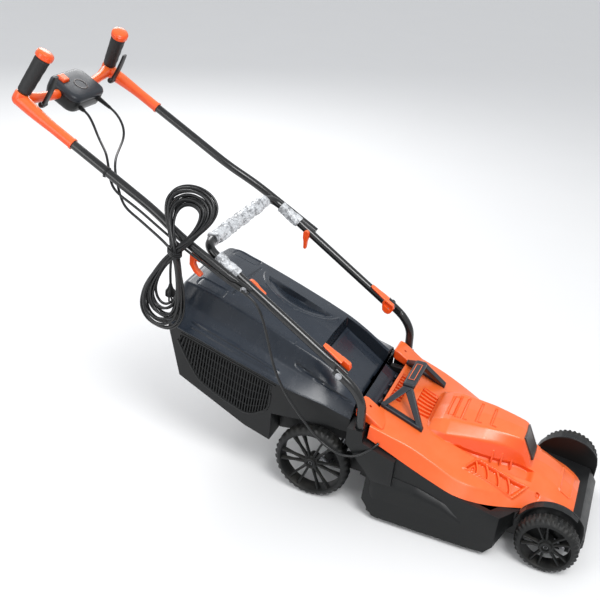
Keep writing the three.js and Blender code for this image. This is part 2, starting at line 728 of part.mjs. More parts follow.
// Upper locking lever: a flat arm beside the leg that flips inwards.
function upperLever(side, slope) {
  const x1 = LEG_X - TUBE_R - GAP;
  const x0 = x1 - 11;
  const onLever = inclined(UPPER_JOINT, slope);
  const arm = sideExtrusion(
    [onLever(-9, -8), onLever(20, -8), onLever(44, -4), onLever(44, 4), onLever(20, 8), onLever(-9, 8)], x0, x1,
  );
  return onSide(arm, side);
}

// Loose protective sleeves left around the tubes near the crossbar.

function barWrap() {
  const [y, z] = onFrame(FRAME_LENGTH);
  const half = LEG_X - 42;
  return rodX(WRAP_R, -half, half, y, z, 14).subtract(rodX(boreFor(TUBE_R), -half - 1, half + 1, y, z));
}

function legWrap(side) {
  const ends = [[LEG_X, ...onFrame(332)], [LEG_X, ...onFrame(400)]];
  const bore = [[LEG_X, ...onFrame(325)], [LEG_X, ...onFrame(407)]];
  const outside = block(LEG_X + TUBE_R - 1.5, 300, 600, 1100, 300, 900);
  const solid = tube(ends, WRAP_R, 1, 1, 14).subtract(tube(bore, boreFor(TUBE_R), 1, 1)).subtract(outside);
  return onSide(solid, side);
}

// Operator's end: moulded arms with upright grips, and the switch box between them.

function roundRing(centre, across, up, radius, sides = SIDES) {
  return roundSection(radius, sides).map(([u, v]) => [
    centre[0] + across[0] * u + up[0] * v,
    centre[1] + across[1] * u + up[1] * v,
    centre[2] + across[2] * u + up[2] * v,
  ]);
}

const ACROSS = [1, 0, 0];
const handleUp = [0, -sine(HANDLE_SLOPE), cosine(HANDLE_SLOPE)];

function gripArm(side) {
  const sleeve = [[SLEEVE_START, 13.5], [SLEEVE_START + 110, 15], [HANDLE_LENGTH - 8, 18], [HANDLE_LENGTH + 16, 15]];
  const rings = sleeve.map(([along, radius]) => {
    const x = along > SLEEVE_START + 120 ? CORNER_X : GRIP_TUBE_X;
    return roundRing([x, ...onHandle(along)], ACROSS, handleUp, radius);
  });
  const inward = tube([
    [CORNER_X, ...onHandle(HANDLE_LENGTH - 2)], [SWITCH_HALF + 18, ...onHandle(HANDLE_LENGTH - 22)],
    [SWITCH_HALF + GAP, ...onHandle(HANDLE_LENGTH - 22)],
  ], 12, 20);
  const cup = gripPiece(4, 17, [[0, 19], [1, 17]]);
  const bore = tube([
    [GRIP_TUBE_X, ...onHandle(SLEEVE_START - 5)], [GRIP_TUBE_X, ...onHandle(SLEEVE_START + 61)],
  ], boreFor(TUBE_R), 1, 1);
  return onSide(joined(loft(rings), inward, cup).subtract(bore), side);
}

// A round piece along the grip's axis between two heights, with its radius at shares of its length.
function gripPiece(from, to, radii) {
  const lean = [-sine(GRIP_LEAN), handleUp[1] * cosine(GRIP_LEAN), handleUp[2] * cosine(GRIP_LEAN)];
  const across = [cosine(GRIP_LEAN), handleUp[1] * sine(GRIP_LEAN), handleUp[2] * sine(GRIP_LEAN)];
  const along = [0, cosine(HANDLE_SLOPE), sine(HANDLE_SLOPE)];
  const base = [CORNER_X, ...onHandle(HANDLE_LENGTH)];
  const rings = radii.map(([share, radius]) => {
    const height = from + (to - from) * share;
    const centre = base.map((value, k) => value + lean[k] * height);
    return roundRing(centre, across, along, radius, 10);
  });
  return loft(rings);
}

const CUP_TOP = 19.5;
const CAP_BASE = GRIP_LENGTH - 18;

const grip = (side) => onSide(
  gripPiece(CUP_TOP, CAP_BASE, [[0, GRIP_R - 1], [0.25, GRIP_R], [0.7, GRIP_R + 1], [1, GRIP_R + 2]]), side);

const gripCap = (side) => onSide(
  gripPiece(CAP_BASE + GAP, GRIP_LENGTH + 3, [[0, 16], [0.3, 21], [0.7, 21], [1, 14]]), side);

// Trigger: a paddle in front of the grip, pivoted on the arm's inward part.
const TRIGGER_X = [140, 162];
const TRIGGER_PIVOT = onHandle(HANDLE_LENGTH - 32, 4);

function trigger(side) {
  const paddle = inclined(TRIGGER_PIVOT, HANDLE_SLOPE + 90);
  const profile = [paddle(-6, 4), paddle(-6, 12), paddle(60, 17), paddle(84, 13), paddle(84, 9), paddle(60, 9)];
  return onSide(sideExtrusion(profile, ...TRIGGER_X), side);
}

const SWITCH_AT = [HANDLE_LENGTH - 78, HANDLE_LENGTH - 78 + SWITCH_LENGTH];

function switchOutline(inset) {
  const [from, to] = [SWITCH_AT[0] + inset, SWITCH_AT[1] - inset];
  const half = SWITCH_HALF - inset;
  const cut = 18;
  return [
    [-half, from + cut], [-half + cut, from], [half - cut, from], [half, from + cut],
    [half, to - cut], [half - cut, to], [-half + cut, to], [-half, to - cut],
  ];
}

function switchSlab(inset, low, high) {
  const ring = (height) => switchOutline(inset).map(([x, along]) => [x, ...onHandle(along, height)]);
  return loft([ring(low), ring(high)]);
}

const BUTTON_AT = { x: -34, along: SWITCH_AT[1] - 24, half: 13 };

function buttonBlock(grow, low, high) {
  const { x, along, half } = BUTTON_AT;
  const ring = (height) => [
    [x - half - grow, ...onHandle(along - half - grow, height)], [x + half + grow, ...onHandle(along - half - grow, height)],
    [x + half + grow, ...onHandle(along + half + grow, height)], [x - half - grow, ...onHandle(along + half + grow, height)],
  ];
  return loft([ring(low), ring(high)]);
}

const SWITCH_SPLIT = 8;

function switchLower() {
  return switchSlab(0, -28, SWITCH_SPLIT).subtract(switchSlab(5, -23, SWITCH_SPLIT + 5)).subtract(glandHoles());
}

function switchUpper() {
  const shell = switchSlab(0, SWITCH_SPLIT + GAP, 24).subtract(switchSlab(5, SWITCH_SPLIT, 20));
  return shell.subtract(buttonBlock(0.7, 0, 40));
}

const lockButton = () => buttonBlock(0, 12, 31);

// Cord exits.

const MAINS_EXIT = { x: 40, up: 0, length: 40 };
const MOTOR_EXIT = { x: -32, up: -12, length: 12 };

function glandAt({ x, up }, radius, from, to) {
  return tube([[x, ...onHandle(from, up)], [x, ...onHandle(to, up)]], radius, 1, 1, 10);
}

const gland = (exit) => glandAt(exit, 6, SWITCH_AT[0] + 4, SWITCH_AT[0] - exit.length);

function glandHoles() {
  const hole = (exit) => glandAt(exit, 6.6, SWITCH_AT[0] + 12, SWITCH_AT[0] - 12);
  return hole(MAINS_EXIT).add(hole(MOTOR_EXIT));
}

// Cord hook under the right upper tube.
function cordHook() {
  const across = [-UPPER_X - 8, -UPPER_X + 8];
  const saddle = sideExtrusion([
    onHandle(124, -TUBE_R - 0.5), onHandle(150, -TUBE_R - 0.5), onHandle(150, -20), onHandle(138, -42),
    onHandle(104, -50), onHandle(104, -42), onHandle(130, -34), onHandle(134, -20), onHandle(124, -20),
  ], ...across);
  return saddle;
}

// Free cords: the mains lead to its tied hank, and the motor cable down to the cover.

const HANK_TIE = [-259, 958, 606];

const LEAD_POINTS = [
  [40, 1318.9, 809.2], [40, 1304, 800], [37, 1286, 783], [26, 1270, 765], [2, 1256, 750], [-36, 1242, 742],
  [-80, 1222, 741], [-124, 1201, 741], [-158, 1181, 726], [-182, 1158, 702], [-206, 1134, 680],
  [-230, 1106, 671], [-245, 1078, 667], [-252, 1046, 655], [-256, 1014, 640],
];

const UPPER_CABLE_POINTS = [
  [-32, 1349.4, 811.6], [-34, 1336, 804], [-46, 1316, 790], [-66, 1292, 774], [-92, 1264, 764],
  [-120, 1234, 757], [-148, 1208, 750], [-174, 1186, 718], [-202, 1160, 700], [-216, 1126, 690],
  [-219, 1090, 676], [-222, 1050, 656], [-229, 1004, 634], [-230, 950, 606], [-230, 900, 582],
  [-230, 850, 556], [-230, 815, 541],
];

const LOWER_CABLE_POINTS = [
  [-230, 786, 532], [-230, 764, 520], [-230, 744, 496], [-230, 728, 452], [-230, 713, 402], [-230, 703, 368],
  [-230, 686, 330], [-230, 662, 292], [-230, 633, 258], [-230, 602, 226], [-230, 570, 196], [-230, 540, 178],
  [-230, 508, 170], [-230, 478, 175], [-230, 456, 190], [-228, 442, 204], [-223, 434, 213], [-215, 429, 217], [-206, 427, 218],
];

function cord(points, radius, steps) {
  const curve = new THREE.CatmullRomCurve3(points.map((point) => new THREE.Vector3(...point)));
  const shape = outline(roundSection(radius, 8));
  return toSolid(new THREE.ExtrudeGeometry(shape, { steps, bevelEnabled: false, extrudePath: curve }));
}

// One lobe of the hank: a flat outline with round ends, widening from the tie to the tip.
function hankLobe(tip, wide, facing) {
  const start = new THREE.Vector3(...HANK_TIE);
  const run = new THREE.Vector3(...tip).sub(start);
  const length = run.length();
  const along = run.normalize();
  const across = new THREE.Vector3().crossVectors(new THREE.Vector3(...facing), along).normalize();
  const normal = new THREE.Vector3().crossVectors(along, across);
  const round = wide / 2;
  const points = [[-12, -14], [20, -18], [length * 0.4, -round * 0.92], [length - round, -round]];
  for (let i = 1; i < 8; i += 1) {
    const angle = -90 + (180 / 8) * i;
    points.push([length - round + round * cosine(angle), round * sine(angle)]);
  }
  points.push([length - round, round], [length * 0.4, round * 0.92], [20, 18], [-12, 14]);
  const depth = 30;
  const geometry = new THREE.ExtrudeGeometry(outline(points), { depth, bevelEnabled: false });
  geometry.translate(0, 0, -depth / 2);
  geometry.applyMatrix4(new THREE.Matrix4().makeBasis(along, across, normal));
  return toSolid(geometry.translate(start.x, start.y, start.z));
}

function mainsHank() {
  return hankLobe([-172, 944, 742], 116, [-0.84, -0.3, 0.46]).add(hankLobe([-256, 1004, 392], 112, [-1, 0, 0]));
}

const PLUG_AT = [-223, 988, 480];

function mainsPlug() {
  const [x, y, z] = PLUG_AT;
  return block(x - 14, x + 12, y - 16, y + 10, z - 26, z + 22);
}

function upperTie() {
  const centre = onHandle(430);
  const ends = [[-GRIP_TUBE_X, ...centre], [-GRIP_TUBE_X, ...onHandle(435)]];
  const bore = [[-GRIP_TUBE_X, ...onHandle(426)], [-GRIP_TUBE_X, ...onHandle(439)]];
  return tube(ends, TUBE_R + 2.6, 1, 1).subtract(tube(bore, boreFor(TUBE_R), 1, 1));
}

// Assembly.

for (const [name, side] of [["left", 1], ["right", -1]]) {
  addPart(`front_wheel_${name}`, onSide(wheel(frontAxle), side), RUBBER, 0.75);
  addPart(`rear_wheel_${name}`, onSide(wheel(rearAxle), side), RUBBER, 0.75);
  addPart(`stub_tube_${name}`, lappedStub(side), BLACK, 0.4);
  addPart(`upper_tube_${name}`, upperTube(side), BLACK, 0.4);
  addPart(`lower_bolt_${name}`, jointBolt(LOWER_JOINT, LEG_X - 22, STUB_X + TUBE_R + GAP, side), STEEL, 0.4, 1);
  addPart(`upper_bolt_${name}`, jointBolt(UPPER_JOINT, LEG_X - TUBE_R + 1, UPPER_X + 6.5 + GAP, side), STEEL, 0.4, 1);
  addPart(`lower_lever_${name}`, lowerLever(side), ORANGE, 0.45);
  addPart(`upper_lever_${name}`, upperLever(side, side > 0 ? 270 : 212), ORANGE, 0.45);
  addPart(`leg_wrap_${name}`, legWrap(side), WRAP_WHITE, 0.5);
  addPart(`grip_arm_${name}`, gripArm(side), ORANGE, 0.45);
  addPart(`grip_${name}`, grip(side), RUBBER, 0.8);
  addPart(`grip_cap_${name}`, gripCap(side), ORANGE, 0.45);
  addPart(`trigger_${name}`, trigger(side), BLACK, 0.5);
  addPart(`mesh_panel_${name}`, meshPanel(side), BLACK, 0.6);
}
addPart("deck_shell", deckShell(), BLACK, 0.5);
addPart("motor_cover", motorCover(), ORANGE, 0.4);
addPart("carry_handle", carryHandle(), NAVY, 0.5);
addPart("front_axle_clamp", axleClamp(frontAxle, 14), BLACK, 0.6);
addPart("rear_axle_clamp", axleClamp(rearAxle, 14), BLACK, 0.6);
addPart("motor_can", motorCan(), STEEL, 0.4, 1);
addPart("rotor_shaft", rotorShaft(), STEEL, 0.4, 1);
addPart("blade_carrier", bladeCarrier(), BLACK, 0.6);
addPart("blade", blade(), STEEL, 0.35, 1);
addPart("blade_bolt", bladeBolt(), STEEL, 0.4, 1);
addPart("front_axle_rod", axleRod(frontAxle, CRANK_X), STEEL, 0.4, 1);
addPart("rear_axle_rod", axleRod(rearAxle, CRANK_X), STEEL, 0.4, 1);
addPart("link_rod", linkRod(), STEEL, 0.4, 1);
addPart("height_lever", heightLever(), STEEL, 0.4, 1);
addPart("height_knob", heightKnob(), BLACK, 0.6);
addPart("rear_guard", rearGuard(), NAVY, 0.5);
addPart("box_lid", boxLid(), NAVY, 0.4);
addPart("box_lower", lowerBox(), BLACK, 0.6);
addPart("lower_frame", lowerFrame(), BLACK, 0.4);
addPart("bar_wrap", barWrap(), WRAP_WHITE, 0.5);
addPart("switch_box_lower", switchLower(), BLACK, 0.55);
addPart("switch_box_upper", switchUpper(), NAVY, 0.4);
addPart("lock_button", lockButton(), ORANGE, 0.45);
addPart("mains_gland", gland(MAINS_EXIT), BLACK, 0.7);
addPart("motor_gland", gland(MOTOR_EXIT), BLACK, 0.7);
addPart("cord_hook", cordHook(), ORANGE, 0.45);
addPart("upper_tie", upperTie(), BLACK, 0.6);
addPart("mains_lead", cord(LEAD_POINTS, LEAD_R, 22), BLACK, 0.5);
addPart("mains_hank", mainsHank(), BLACK, 0.5);
addPart("mains_plug", mainsPlug(), BLACK, 0.6);
addPart("motor_cable_upper", cord(UPPER_CABLE_POINTS, LEAD_R, 26), BLACK, 0.5);
addPart("motor_cable_lower", cord(LOWER_CABLE_POINTS, LEAD_R, 24), BLACK, 0.5);

const bounds = new THREE.Box3();
for (const mesh of model.children) {
  if (!cords.has(mesh.name)) {
    bounds.expandByObject(mesh);
  }
}
const middle = bounds.getCenter(new THREE.Vector3());
model.position.set(-middle.x, -middle.y, -bounds.min.z);

const mower = new THREE.Group();
mower.add(model);

export default mower;
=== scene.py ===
# A corded push lawn mower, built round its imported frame. Lengths are millimetres, with y measured
# from the front axle and z from the ground; +x is the operator's left.
import json
import math

import bpy
import numpy as np
from mathutils import Matrix, Vector, noise

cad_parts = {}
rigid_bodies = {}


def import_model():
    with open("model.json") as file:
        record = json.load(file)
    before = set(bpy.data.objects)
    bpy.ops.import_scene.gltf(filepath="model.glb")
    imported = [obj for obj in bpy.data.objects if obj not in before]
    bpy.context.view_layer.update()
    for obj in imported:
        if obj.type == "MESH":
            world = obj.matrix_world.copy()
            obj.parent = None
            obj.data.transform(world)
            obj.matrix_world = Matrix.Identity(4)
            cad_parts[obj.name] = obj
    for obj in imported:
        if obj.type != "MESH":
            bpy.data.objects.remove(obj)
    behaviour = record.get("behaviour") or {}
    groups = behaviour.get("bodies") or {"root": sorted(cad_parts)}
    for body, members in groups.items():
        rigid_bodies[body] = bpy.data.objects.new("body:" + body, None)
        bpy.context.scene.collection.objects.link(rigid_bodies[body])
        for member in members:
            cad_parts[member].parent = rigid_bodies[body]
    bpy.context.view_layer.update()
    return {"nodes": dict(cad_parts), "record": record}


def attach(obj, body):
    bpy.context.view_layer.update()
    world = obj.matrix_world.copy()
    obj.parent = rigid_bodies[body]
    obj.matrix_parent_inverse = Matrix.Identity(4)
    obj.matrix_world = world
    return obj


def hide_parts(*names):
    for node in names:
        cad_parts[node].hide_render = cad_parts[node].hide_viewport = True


for leftover in list(bpy.data.objects):
    bpy.data.objects.remove(leftover)
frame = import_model()

AXLE_SHIFT = 687.2283
MM = 0.001
LOWER_JOINT = (542, 375)
UPPER_JOINT = (795, 533)
GUARD_HINGE = (474, 227)
FRAME_SLOPE = 32
HANDLE_SLOPE = 27.8
GUARD_SLOPE = 33
LEG_X = 191.2
UPPER_X = 213.8
STUB_X = 205
TUBE_END_X = 197
GRIP_X = 190
CROSSBAR_AT = 438.5
TUBE_R = 11
CORD_R = 3.25
FRONT_R = 75
REAR_R = 98
WHEELBASE = 590
SIDES = (("left", 1), ("right", -1))
CORNERS = ((-1, -1), (1, -1), (1, 1), (-1, 1))


def at(x, y, z):
    return Vector((x * MM, (y - AXLE_SHIFT) * MM, z * MM))


def inclined(start, slope):
    c, s = math.cos(math.radians(slope)), math.sin(math.radians(slope))

    def place(along, up=0.0):
        return start[0] + along * c - up * s, start[1] + along * s + up * c

    return place


def placed(name, data):
    """A new object in the scene that holds the given data."""
    piece = bpy.data.objects.new(name, data)
    bpy.context.scene.collection.objects.link(piece)
    return piece


on_frame = inclined(LOWER_JOINT, FRAME_SLOPE)
on_handle = inclined(UPPER_JOINT, HANDLE_SLOPE)
on_guard = inclined(GUARD_HINGE, GUARD_SLOPE)


# Camera.

lens = bpy.data.cameras.new("camera")
lens.sensor_width = 36
lens.lens = 54.57
camera = placed("camera", lens)
camera.matrix_world = Matrix((
    (0.377500, 0.396775, -0.836698, -1.95082),
    (-0.921912, 0.245936, -0.299321, -0.65279),
    (0.087011, 0.884356, 0.458633, 1.49566),
    (0, 0, 0, 1),
))
bpy.context.scene.camera = camera


# Shader recipes.


class Value:
    """A socket carrying a number or a colour, so that shader maths reads as arithmetic."""

    def __init__(self, recipe, socket):
        self.recipe, self.socket = recipe, socket

    def sum(self, operation, first, second):
        return self.recipe.node("Math", {"operation": operation}, first, second)

    def __add__(self, other):
        return self.sum("ADD", self, other)

    def __radd__(self, other):
        return self.sum("ADD", other, self)

    def __sub__(self, other):
        return self.sum("SUBTRACT", self, other)

    def __rsub__(self, other):
        return self.sum("SUBTRACT", other, self)

    def __mul__(self, other):
        return self.sum("MULTIPLY", self, other)

    def __rmul__(self, other):
        return self.sum("MULTIPLY", other, self)

    def between(self, low, high):
        """0 below low and 1 above high, with a smooth rise between them."""
        settings = {"interpolation_type": "SMOOTHSTEP"}
        return self.recipe.node("MapRange", settings, self, low, high, 0.0, 1.0)


class Recipe:
    """One procedural material on the principled surface."""

    def __init__(self, name, roughness, metallic=0.0, **fixed):
        self.material = bpy.data.materials.new(name)
        self.material.use_nodes = True
        self.tree = self.material.node_tree
        self.tree.nodes.clear()
        self.surface = self.tree.nodes.new("ShaderNodeBsdfPrincipled")
        output = self.tree.nodes.new("ShaderNodeOutputMaterial")
        self.tree.links.new(self.surface.outputs[0], output.inputs[0])
        self.surface.inputs["Roughness"].default_value = roughness
        self.surface.inputs["Metallic"].default_value = metallic
        for socket, number in fixed.items():
            self.surface.inputs[socket.replace("_", " ")].default_value = number
        self.place = self.node("TexCoord", None, output="Object")
        self.facing = self.node("TexCoord", None, output="Normal")

    def node(self, kind, settings, *values, output=0, **named):
        made = self.tree.nodes.new("ShaderNode" + kind)
        for key, value in (settings or {}).items():
            if key == "stops":
                for stop, (position, colour) in zip(made.color_ramp.elements, value):
                    stop.position, stop.color = position, colour
            else:
                setattr(made, key, value)
        for key, value in [*enumerate(values), *named.items()]:
            if value is None:
                continue
            if isinstance(value, Value):
                self.tree.links.new(value.socket, made.inputs[key])
            else:
                made.inputs[key].default_value = value
        return Value(self, made.outputs[output])

    def noise(self, scale, detail=3.0, roughness=0.55, place=None):
        place = place or self.place
        return self.node("TexNoise", None, Vector=place, Scale=scale, Detail=detail, Roughness=roughness)

    def stretched(self, scale):
        return self.node("Mapping", None, Vector=self.place, Scale=scale)

    def mix(self, factor, first, second):
        made = {"data_type": "RGBA"}
        return self.node("Mix", made, factor, None, None, None, None, None, first, second, output=2)

    def up(self, low=0.1, high=0.95):
        """1 on faces that look up and 0 on those that look sideways."""
        return self.node("SeparateXYZ", None, self.facing, output=2).between(low, high)

    def feed(self, **sockets):
        for name, value in sockets.items():
            self.tree.links.new(value.socket, self.surface.inputs[name.replace("_", " ")])

    def bump(self, *layers):
        """Stacks (height, distance in mm) layers into the normal."""
        normal = None
        for height, distance in layers:
            normal = self.node(
                "Bump", None, Strength=1.0, Distance=distance * MM, Height=height, Normal=normal)
        self.feed(Normal=normal)


def rgb(red, green, blue):
    return red, green, blue, 1.0


def moulded(name, side, top, roughness, dust, dust_tone, grain=700, grain_depth=0.05, **fixed):
    """Moulded plastic: a side colour with a lighter top colour on upward faces as painted light, fine grain,
    broad unevenness, rubbed patches, thin scratches and dust on top.
    """
    recipe = Recipe(name, roughness, **fixed)
    patches = recipe.noise(9, 4)
    scratches = recipe.noise(38, 5, 0.7, recipe.stretched((1, 14, 3))).between(0.63, 0.67)
    rubbed = recipe.noise(30, 6, 0.65).between(0.5, 0.72)
    speck = recipe.noise(420, 2).between(0.62, 0.7)
    settled = recipe.up(0.2, 0.9) * recipe.noise(22, 5, 0.6).between(0.35, 0.75) * dust
    # Painted light: upward faces take the lighter top colour and sideways faces the darker side colour, as if
    # lit from above.
    colour = recipe.mix(recipe.up(), side, top)
    colour = recipe.mix(patches * 0.22, colour, [c * 0.72 for c in side[:3]] + [1])
    colour = recipe.mix(scratches * 0.12, colour, dust_tone)
    colour = recipe.mix(settled + speck * dust * 0.35, colour, dust_tone)
    recipe.feed(Base_Color=colour)
    recipe.feed(Roughness=settled * 0.25 + rubbed * 0.1 + scratches * 0.12 + (roughness - 0.04))
    recipe.bump((recipe.noise(grain, 3, 0.6), grain_depth), (scratches, 0.04), (patches, 0.25))
    return recipe.material


def brushed(name, colour, roughness):
    recipe = Recipe(name, roughness, 0.9)
    lines = recipe.noise(60, 4, 0.6, recipe.stretched((1, 30, 30)))
    stains = recipe.noise(24, 4).between(0.5, 0.8)
    recipe.feed(Base_Color=recipe.mix(stains * 0.5, colour, rgb(0.16, 0.14, 0.12)))
    recipe.feed(Roughness=lines * 0.2 + stains * 0.25 + (roughness - 0.1))
    recipe.bump((lines, 0.05))
    return recipe.material


def painted(name, colour, roughness):
    """Powder coat on tube: orange peel, a few chips and long scratches."""
    recipe = Recipe(name, roughness, Coat_Weight=0.3, Coat_Roughness=0.25)
    chips = recipe.noise(70, 6, 0.7).between(0.7, 0.73)
    streaks = recipe.noise(26, 4, 0.6, recipe.stretched((1, 0.25, 1))).between(0.52, 0.75)
    base = recipe.mix(streaks * 0.3, colour, rgb(0.025, 0.026, 0.028))
    recipe.feed(Base_Color=recipe.mix(chips * 0.6, base, rgb(0.2, 0.2, 0.2)))
    recipe.feed(Roughness=streaks * 0.2 + chips * 0.2 + (roughness - 0.06))
    recipe.bump((recipe.noise(520, 2), 0.06), (chips, 0.08))
    return recipe.material


def sheathed(name, colour, roughness):
    recipe = Recipe(name, roughness)
    scuffs = recipe.noise(90, 5, 0.65).between(0.55, 0.72)
    recipe.feed(Base_Color=recipe.mix(scuffs * 0.35, colour, rgb(0.028, 0.028, 0.03)))
    recipe.feed(Roughness=scuffs * 0.25 + (roughness - 0.05))
    recipe.bump((recipe.noise(260, 3), 0.08), (recipe.noise(40, 2), 0.3))
    return recipe.material


def rubbery(name, colour, roughness):
    """Soft grip rubber with rows of raised dots."""
    recipe = Recipe(name, roughness)
    dots = recipe.node("TexVoronoi", {"feature": "F1"}, Vector=recipe.place, Scale=260.0, Randomness=0.15)
    raised = 1.0 - dots.between(0.2, 0.42)
    wear = recipe.noise(34, 4).between(0.5, 0.78)
    recipe.feed(Base_Color=recipe.mix(wear * 0.4 + raised * 0.12, colour, rgb(0.03, 0.031, 0.032)))
    recipe.feed(Roughness=wear * 0.15 + (roughness - 0.06))
    recipe.bump((raised, 0.3), (recipe.noise(600, 2), 0.08))
    return recipe.material


def filmy(name):
    """Crumpled bubble film: whitish, glossy on the creases, with painted shade darkening the folds and
    painted highlights whitening the bubbles.
    """
    recipe = Recipe(name, 0.3, Coat_Weight=0.5, Coat_Roughness=0.15)
    cells = recipe.node("TexVoronoi", {"feature": "F1"}, Vector=recipe.place, Scale=105.0, Randomness=0.25)
    bubble = 1.0 - cells.between(0.12, 0.5)
    creases = recipe.noise(60, 6, 0.7)
    folds = creases.between(0.35, 0.6)
    # Painted shade: the film turns dark grey in the folds of the crease noise.
    fold_shaded_tone = recipe.mix(folds, rgb(0.16, 0.165, 0.175), rgb(0.66, 0.68, 0.7))
    # Painted highlights: the middles of the bubbles are whitened.
    recipe.feed(Base_Color=recipe.mix(bubble * 0.5, fold_shaded_tone, rgb(0.85, 0.87, 0.9)))
    recipe.feed(Roughness=folds * 0.25 + 0.16)
    recipe.bump((creases, 2.5), (bubble, 1.2))
    return recipe.material


# Each moulding gets a side colour and a lighter top colour; the lighter top colour is painted light on upward
# faces.
ORANGE = moulded(
    "orange_moulding", rgb(0.80, 0.074, 0.006), rgb(0.91, 0.158, 0.030), 0.33, 0.08, rgb(0.93, 0.36, 0.17),
    grain_depth=0.03, Coat_Weight=0.12, Coat_Roughness=0.2)
DECK = moulded(
    "deck_moulding", rgb(0.0062, 0.0068, 0.0070), rgb(0.0085, 0.0092, 0.0098),
    0.36, 0.10, rgb(0.06, 0.06, 0.058), Specular_IOR_Level=0.3)
LID = moulded(
    "lid_moulding", rgb(0.010, 0.0132, 0.0185), rgb(0.020, 0.0275, 0.040),
    0.27, 0.07, rgb(0.075, 0.088, 0.105),
    grain_depth=0.02, Specular_IOR_Level=0.35, Coat_Weight=0.12, Coat_Roughness=0.18)
BOX = moulded(
    "grass_box_moulding", rgb(0.0065, 0.007, 0.0074), rgb(0.0105, 0.011, 0.0115),
    0.42, 0.12, rgb(0.06, 0.06, 0.06), Specular_IOR_Level=0.3)
SLATE = moulded(
    "slate_moulding", rgb(0.012, 0.0148, 0.0195), rgb(0.022, 0.0265, 0.034),
    0.4, 0.10, rgb(0.10, 0.107, 0.115), Specular_IOR_Level=0.4)
WHEEL = moulded(
    "wheel_moulding", rgb(0.006, 0.0065, 0.0066), rgb(0.011, 0.0116, 0.0117),
    0.52, 0.28, rgb(0.075, 0.07, 0.06),
    grain=420, grain_depth=0.12, Specular_IOR_Level=0.3)
BADGE = moulded(
    "badge_insert", rgb(0.035, 0.028, 0.026), rgb(0.05, 0.035, 0.03), 0.35, 0.1, rgb(0.2, 0.12, 0.1))
STEEL = brushed("plated_steel", rgb(0.42, 0.43, 0.45), 0.38)
PAINT = painted("tube_powder_coat", rgb(0.005, 0.0054, 0.0058), 0.28)
SHEATH = sheathed("cord_sheath", rgb(0.0052, 0.0056, 0.006), 0.34)
RUBBER = rubbery("grip_rubber", rgb(0.0062, 0.0065, 0.007), 0.6)
FILM = filmy("bubble_film")

FINISH = {
    "orange": ORANGE, "black_plastic": DECK, "lid_plastic": LID, "wheel_plastic": WHEEL, "tube_paint": PAINT,
    "grip_rubber": RUBBER, "steel": STEEL, "cord_sheath": SHEATH, "wrap_film": FILM,
}


# Making and finishing pieces.


def only(*pieces):
    bpy.ops.object.select_all(action="DESELECT")
    for piece in pieces:
        piece.select_set(True)
    if pieces:
        bpy.context.view_layer.objects.active = pieces[0]


def new_mesh(name, vertices, faces, edges=()):
    """A piece from points in millimetres."""
    mesh = bpy.data.meshes.new(name)
    mesh.from_pydata([tuple(at(*vertex)) for vertex in vertices], list(edges), faces)
    return placed(name, mesh)


def use(piece, kind, **settings):
    only(piece)
    modifier = piece.modifiers.new(kind.lower(), kind)
    for key, value in settings.items():
        setattr(modifier, key, value)
    bpy.ops.object.modifier_apply(modifier=modifier.name)
    return piece


def cut(piece, tool):
    """Takes the tool's shape out of a piece, and the tool out of the scene."""
    use(piece, "BOOLEAN", operation="DIFFERENCE", object=tool, solver="EXACT")
    bpy.data.objects.remove(tool)


def settle(piece, angle=35):
    """Merges doubles, turns every face outwards and smooths across gentle edges."""
    only(piece)
    bpy.ops.object.mode_set(mode="EDIT")
    bpy.ops.mesh.select_all(action="SELECT")
    bpy.ops.mesh.remove_doubles(threshold=2e-5)
    bpy.ops.mesh.normals_make_consistent(inside=False)
    bpy.ops.object.mode_set(mode="OBJECT")
    bpy.ops.object.shade_smooth_by_angle(angle=math.radians(angle))
    return piece


def soften(piece, width, segments=2, limit=30):
    settle(piece)
    return use(piece, "BEVEL", width=width * MM, segments=segments, limit_method="ANGLE",
               angle_limit=math.radians(limit), use_clamp_overlap=True, harden_normals=False)


def joined(name, *pieces):
    only(*pieces)
    if len(pieces) > 1:
        bpy.ops.object.join()
    pieces[0].name = name
    pieces[0].data.name = name
    return pieces[0]


def dress(piece, body, slot, material, *nodes, angle=35):
    """Shades a finished piece, gives it its finish and lets it ride on its body."""
    only(piece)
    bpy.ops.object.shade_smooth_by_angle(angle=math.radians(angle))
    piece.data.materials.clear()
    piece.data.materials.append(material)
    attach(piece, body)
    if nodes:
        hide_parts(*nodes)
    return piece


def copied(name, node, width=1.0, segments=2, limit=30):
    """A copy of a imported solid, merged to clean faces and given rounded edges."""
    source = frame["nodes"][node]
    piece = placed(name, source.data.copy())
    piece.data.materials.clear()
    settle(piece)
    bpy.ops.object.mode_set(mode="EDIT")
    bpy.ops.mesh.select_all(action="SELECT")
    bpy.ops.mesh.dissolve_limited(angle_limit=math.radians(1))
    bpy.ops.object.mode_set(mode="OBJECT")
    if width:
        soften(piece, width, segments, limit)
    return piece


def skin(name, rows, closed=True, caps=True):
    """A skin through rows of points; each row is a ring when closed."""
    rows = np.asarray(rows, float)
    count, across = rows.shape[:2]
    index = np.arange(count * across).reshape(count, across)
    beside = np.roll(index, -1, axis=1) if closed else index[:, 1:]
    here = index if closed else index[:, :-1]
    faces = np.stack([here[:-1], beside[:-1], beside[1:], here[1:]], axis=-1).reshape(-1, 4).tolist()
    if caps:
        faces += [index[0][::-1].tolist(), index[-1].tolist()]
    return settle(new_mesh(name, rows.reshape(-1, 3).tolist(), faces))


def prism(name, profile, x0, x1):
    """A side view in (y, z) carried across from x0 to x1."""
    return skin(name, [[(x0, y, z) for y, z in profile], [(x1, y, z) for y, z in profile]])


